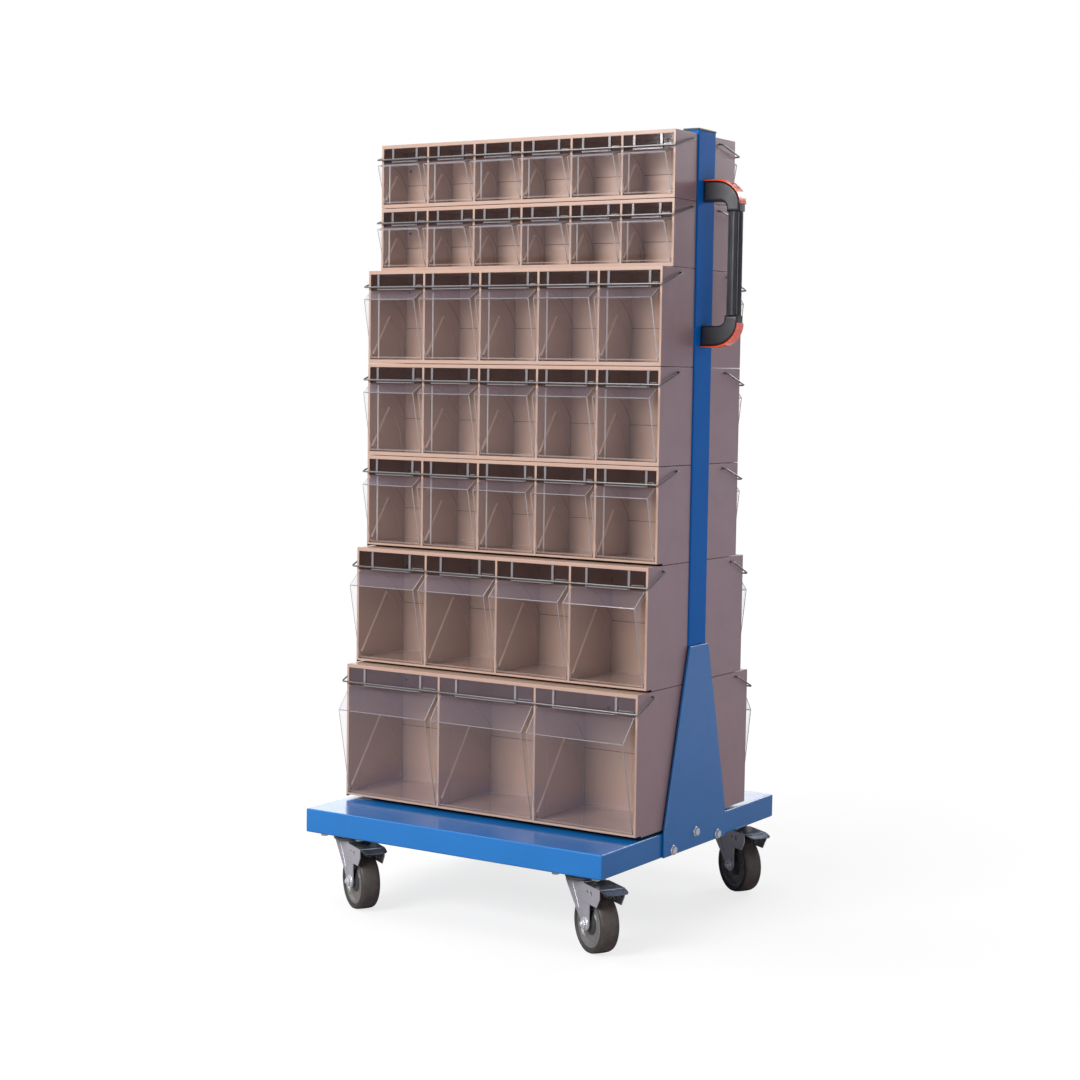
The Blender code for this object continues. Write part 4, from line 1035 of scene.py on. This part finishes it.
def build_handle(centre):
    low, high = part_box("handle")
    place = Matrix.Translation((centre.x + POST_OUTER + PLATE_GAP, centre.y, (low.z + high.z) / 2))
    half = HANDLE_WIDTH / 2
    inner_x = HANDLE_REACH - HANDLE_WIDTH
    foot_low = HANDLE_HALF - HANDLE_FOOT
    fillet = Vector((inner_x - HANDLE_FILLET, foot_low - HANDLE_FILLET))
    elbow = under_cover(SEAM) + [(HANDLE_REACH - 2 * SEAM, GRIP_HALF), (inner_x, GRIP_HALF)]
    elbow += arc(fillet, HANDLE_FILLET, 0.0, math.pi / 2, 8) + [(0.0, foot_low)]
    cover = corner_curve(HANDLE_HALF, COVER_STRAIGHT, HANDLE_REACH, COVER_DROP) + under_cover(0.0)[::-1]
    for name, flip in (("upper", 1), ("lower", -1)):
        shape = prism([(x, flip * z) for x, z in elbow], -half, half, 1)
        bmesh.ops.recalc_face_normals(shape, faces=shape.faces)
        edges = [edge for edge in shape.edges if abs(edge.verts[0].co.y - edge.verts[1].co.y) < SEAM]
        bevel_edges(shape, edges, HANDLE_EDGE, 4)
        add_fixed("handle_elbow_" + name, shape, BLACK, place, "black_plastic", EVEN_SHADING, replaced=["handle"])
        shape = prism([(x, flip * z) for x, z in cover], -half, half, 1)
        add_fixed(
            "cover_" + name, shape, ORANGE, place, "orange_cover",
            rounded(COVER_EDGE, 3, 50), EVEN_SHADING, replaced=["handle_cover_" + name],
        )
    grip = bmesh.new()
    rings = []
    for z, depth in (
        (-GRIP_HALF + SEAM, 0.0), (-GRIP_HALF + GRIP_END, GRIP_GROOVE_DEPTH),
        (GRIP_HALF - GRIP_END, GRIP_GROOVE_DEPTH), (GRIP_HALF - SEAM, 0.0),
    ):
        ring = []
        for k, point in enumerate(circle(1.0, GRIP_GROOVES * 6)):
            point *= half - depth * (k % 6 in (0, 1))
            ring.append((HANDLE_REACH - half - SEAM + point.x, point.y, z))
        rings.append(ring)
    add_rings(grip, rings)
    add_fixed("handle_grip", grip, BLACK, place, "black_plastic", angle=20)


# Casters

def leg_outline():
    """The fork from its side: down its back, round the axle and up to the ear that carries the pedal."""
    axle = Vector((TRAIL, WHEEL_RADIUS))
    heel = Vector((-LEG_BACK, FORK_TOP - LEG_BACK_HEIGHT))
    to_heel = heel - axle
    first = math.atan2(to_heel.y, to_heel.x) + math.acos(LEG_END_RADIUS / to_heel.length)
    ear_front = HINGE_REACH + EAR_MARGIN
    ear_low = HINGE_HEIGHT - EAR_HEIGHT
    ear_top = HINGE_HEIGHT + EAR_HEIGHT
    return [
        (-LEG_BACK, FORK_TOP), heel, *arc(axle, LEG_END_RADIUS, first, 2 * math.pi, 12),
        (TRAIL + LEG_END_RADIUS, ear_low - EAR_HEIGHT), (ear_front, ear_low), (ear_front, ear_top),
        (SHOULDER_FRONT, ear_top), (SHOULDER_FRONT, FORK_TOP),
    ]


def fork_mesh():
    """The pressed fork with its crown, an embossed panel on each leg, and the axle."""
    legs = finish_mesh("fork", prism(leg_outline(), -FORK_OUTER, FORK_OUTER, 1), ZINC)
    between = boxed(
        (-LEG_BACK - OVERRUN, -FORK_INNER, -OVERRUN),
        (HINGE_REACH + EAR_MARGIN + OVERRUN, FORK_INNER, SHOULDER_LOW),
    )
    shape = bmesh.new()
    shape.from_mesh(modified(legs, cut(between), rounded(FORK_BEVEL, 2, 35)))
    for side in (-1, 1):
        panel = prism(PANEL, side * (FORK_OUTER - OVERLAP), side * (FORK_OUTER + PANEL_PROUD), 1)
        shape.from_mesh(modified(finish_mesh("panel", panel), rounded(PANEL_BEVEL, 3, 30)))
    crown = bmesh.new()
    add_turned(crown, CROWN_PROFILE, 48, Matrix.Identity(4))
    add_part(shape, crown, 1)
    add_rod(shape, AXLE_RADIUS, -FORK_OUTER, FORK_OUTER, along_y((TRAIL, 0, WHEEL_RADIUS)))
    return modified(finish_mesh("fork", shape, ZINC, DARK_ZINC), EVEN_SHADING)


def nuts_mesh():
    """The axle's nuts on their washers, with the ends of its thread."""
    shape = bmesh.new()
    height = AXLE_HALF - FORK_OUTER
    end = height + THREAD_END
    thread = ((THREAD_RADIUS, 0), (THREAD_RADIUS, end - THREAD_CHAMFER), (THREAD_RADIUS * THREAD_TIP_SHARE, end))
    for side, turn in ((-1, math.pi), (1, 0)):
        matrix = along_y((TRAIL, side * FORK_OUTER, WHEEL_RADIUS)) @ Matrix.Rotation(turn, 4, "X")
        add_bolt(shape, matrix, NUT_RADIUS, height, AXLE_WASHER_RADIUS)
        add_turned(shape, thread, 20, matrix)
    return finish_mesh("nuts", shape, BRIGHT_ZINC)


def wheel_mesh(name, half, sides, *materials):
    """A ring about the axle from one half of its profile. Its flanks take the last material."""
    profile = half + tuple((radius, -height) for radius, height in reversed(half[:-1]))
    shape = bmesh.new()
    add_turned(shape, profile, sides, along_y((TRAIL, 0, WHEEL_RADIUS)), closed=True)
    shape.normal_update()
    for face in shape.faces:
        if abs(face.normal.y) > FACING:
            face.material_index = len(materials) - 1
    return finish_mesh(name, shape, *materials)


def pedal_mesh():
    """The brake pedal: a channel over the fork with bored cheeks, dark on top."""
    channel = finish_mesh("pedal", prism(CHANNEL, PEDAL_START, PEDAL_END, 0), ZINC)
    corner = bmesh.new()
    holes = bmesh.new()
    for side in (-1, 1):
        prism(CHANNEL_CUT, *sorted((side * (CHEEK_INNER - OVERLAP), side * (CHEEK_OUTER + OVERLAP))), 1, corner)
    for x, z, radius in PEDAL_HOLES:
        add_rod(holes, radius, -PEDAL_HOLE_REACH, PEDAL_HOLE_REACH, along_y((x, 0, z)), 20)
    mesh = modified(channel, cut(corner), cut(holes), rounded(PEDAL_BEVEL), EVEN_SHADING)
    mesh.materials.append(DARK_ZINC)
    for face in mesh.polygons:
        face.material_index = int(face.normal.z > FACING)
    return mesh


def tongue_mesh():
    """The pedal's tread: a stamped, dished plate whose tip is bent down and rounded."""
    rings = []
    for x, half, drop in TONGUE:
        ring = []
        for level, shares in ((0.0, TONGUE_SHARES), (TONGUE_THICKNESS, TONGUE_SHARES[::-1])):
            for share in shares:
                dish = DISH_DEPTH * math.cos(math.pi / 2 * share) * (DISH_START < x < DISH_END)
                ring.append((x, half * share, PEDAL_LOW + TONGUE_RISE - drop - level - dish))
        rings.append(ring)
    shape = bmesh.new()
    add_rings(shape, rings)
    return finish_mesh("pedal_plate", shape, DARK_ZINC, angle=50)


def shoe_mesh():
    """The black moulding under the pedal's tip, with stiffening ribs."""
    shape = bmesh.new()
    for y, sizes in ((0.0, SHOE), *((y, SHOE_RIB) for y in SHOE_RIB_PLACES)):
        x, half_x, half_y, low, high, *bevel = sizes
        block = slab(half_x, half_y, PEDAL_LOW - low, PEDAL_LOW - high, x, y)
        shape.from_mesh(modified(finish_mesh("shoe", block), rounded(*bevel)))
    return modified(finish_mesh("shoe", shape, BLACK), EVEN_SHADING)


def build_casters(centre):
    pieces = (
        ("fork_{}_steel", fork_mesh(), "fork_", "zinc", True),
        ("axle_nuts_{}", nuts_mesh(), "fork_", "zinc", False),
        ("tyre_{}", wheel_mesh("tyre", TYRE_HALF, 96, TYRE, TYRE_SIDE), "wheel_", "tyre_rubber", True),
        ("core_{}", wheel_mesh("core", CORE_HALF, 96, CORE), "wheel_", "tyre_rubber", False),
        ("hub_{}", wheel_mesh("hub", HUB_HALF, 64, HUB), "wheel_", "tyre_rubber", False),
        ("pedal_{}", pedal_mesh(), "brake_pedal_", "zinc", True),
        ("pedal_plate_{}", tongue_mesh(), "brake_pedal_", "zinc", False),
        ("pedal_shoe_{}", shoe_mesh(), "brake_pedal_", "black_plastic", False),
    )
    for piece in pieces:
        piece[1].transform(Matrix.Rotation(CASTER_TURN, 4, "Z"))
    for corner, (x, y) in zip(CORNERS, corners(CASTER_X, CASTER_Y)):
        place = Matrix.Translation((centre.x + x, centre.y + y, 0))
        for name, mesh, body, slot, replaces in pieces:
            node = body + corner
            add_piece(name.format(corner), mesh, node, place, [node] if replaces else ())


# Studio

def build_camera():
    camera = link_object("camera", bpy.data.cameras.new("camera"))
    camera.data.sensor_width = SENSOR
    camera.data.sensor_fit = "HORIZONTAL"
    camera.data.lens = FOCAL_PIXELS / FRAME_PIXELS * SENSOR
    matrix = Matrix.Translation(CAMERA_PLACE)
    for angle, axis in ((CAMERA_AZIMUTH, "Z"), (math.pi / 2 + CAMERA_ELEVATION, "X"), (CAMERA_ROLL, "Z")):
        matrix @= Matrix.Rotation(angle, 4, axis)
    camera.matrix_world = matrix
    bpy.context.scene.camera = camera


def build_studio():
    """A white floor that lights the cart less than it shows, with soft shadows that fade out round the cart."""
    material, tree, shader = new_material("studio_floor")
    place = add_node(tree, "TexCoord", "Object")
    length = tree.nodes.new("ShaderNodeVectorMath")
    length.operation = "LENGTH"
    tree.links.new(place, length.inputs[0])
    away = add_range(tree, length.outputs["Value"], 0.0, 1.0, *FLOOR_FADE)
    seen = add_node(tree, "LightPath", "Is Camera Ray")
    shown = add_ramp(tree, away, (0.22, 0.22, 0.22), (0.04, 0.04, 0.04))
    unseen = add_ramp(tree, away, (0.36, 0.34, 0.345), (0.56, 0.53, 0.57))
    feed(tree, shader, {
        "Base Color": add_mix(tree, seen, unseen, shown), "Roughness": 0.9, "Specular IOR Level": 0.0,
        "Emission Color": add_ramp(tree, away, (0.77, 0.77, 0.77), (1.0, 1.0, 1.0)), "Emission Strength": seen,
        "Normal": add_bump(tree, add_noise(tree, place, FLOOR_GRAIN, 2.0), 0.02, 0.0002),
    })
    shape = bmesh.new()
    bmesh.ops.create_grid(shape, x_segments=8, y_segments=8, size=FLOOR_HALF)
    floor = link_object("floor", finish_mesh("floor", shape, material))
    world = bpy.data.worlds.new("studio")
    world.use_nodes = True
    tree = world.node_tree
    seen = add_node(tree, "LightPath", "Is Camera Ray")
    feed(tree, tree.nodes["Background"], {"Color": add_ramp(tree, seen, (0.26, 0.25, 0.26), (1.0, 1.0, 1.0))})
    bpy.context.scene.world = world
    for name, place, target, size, power, colour in LIGHTS:
        light = bpy.data.lights.new(name, "AREA")
        light.shape = "RECTANGLE"
        light.size, light.size_y = size
        light.energy = power
        light.color = colour
        lamp = link_object(name, light)
        lamp.location = place
        lamp.rotation_euler = (Vector(target) - Vector(place)).to_track_quat("-Z", "Y").to_euler()
    bpy.context.scene.view_settings.view_transform = "Standard"


build_camera()
build_studio()
base_low, base_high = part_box("base_platform")
cart_centre = Vector(((base_low.x + base_high.x) / 2, (base_low.y + base_high.y) / 2, 0))
build_platform(cart_centre)
build_posts(cart_centre)
build_handle(cart_centre)
build_racks()
build_casters(cart_centre)
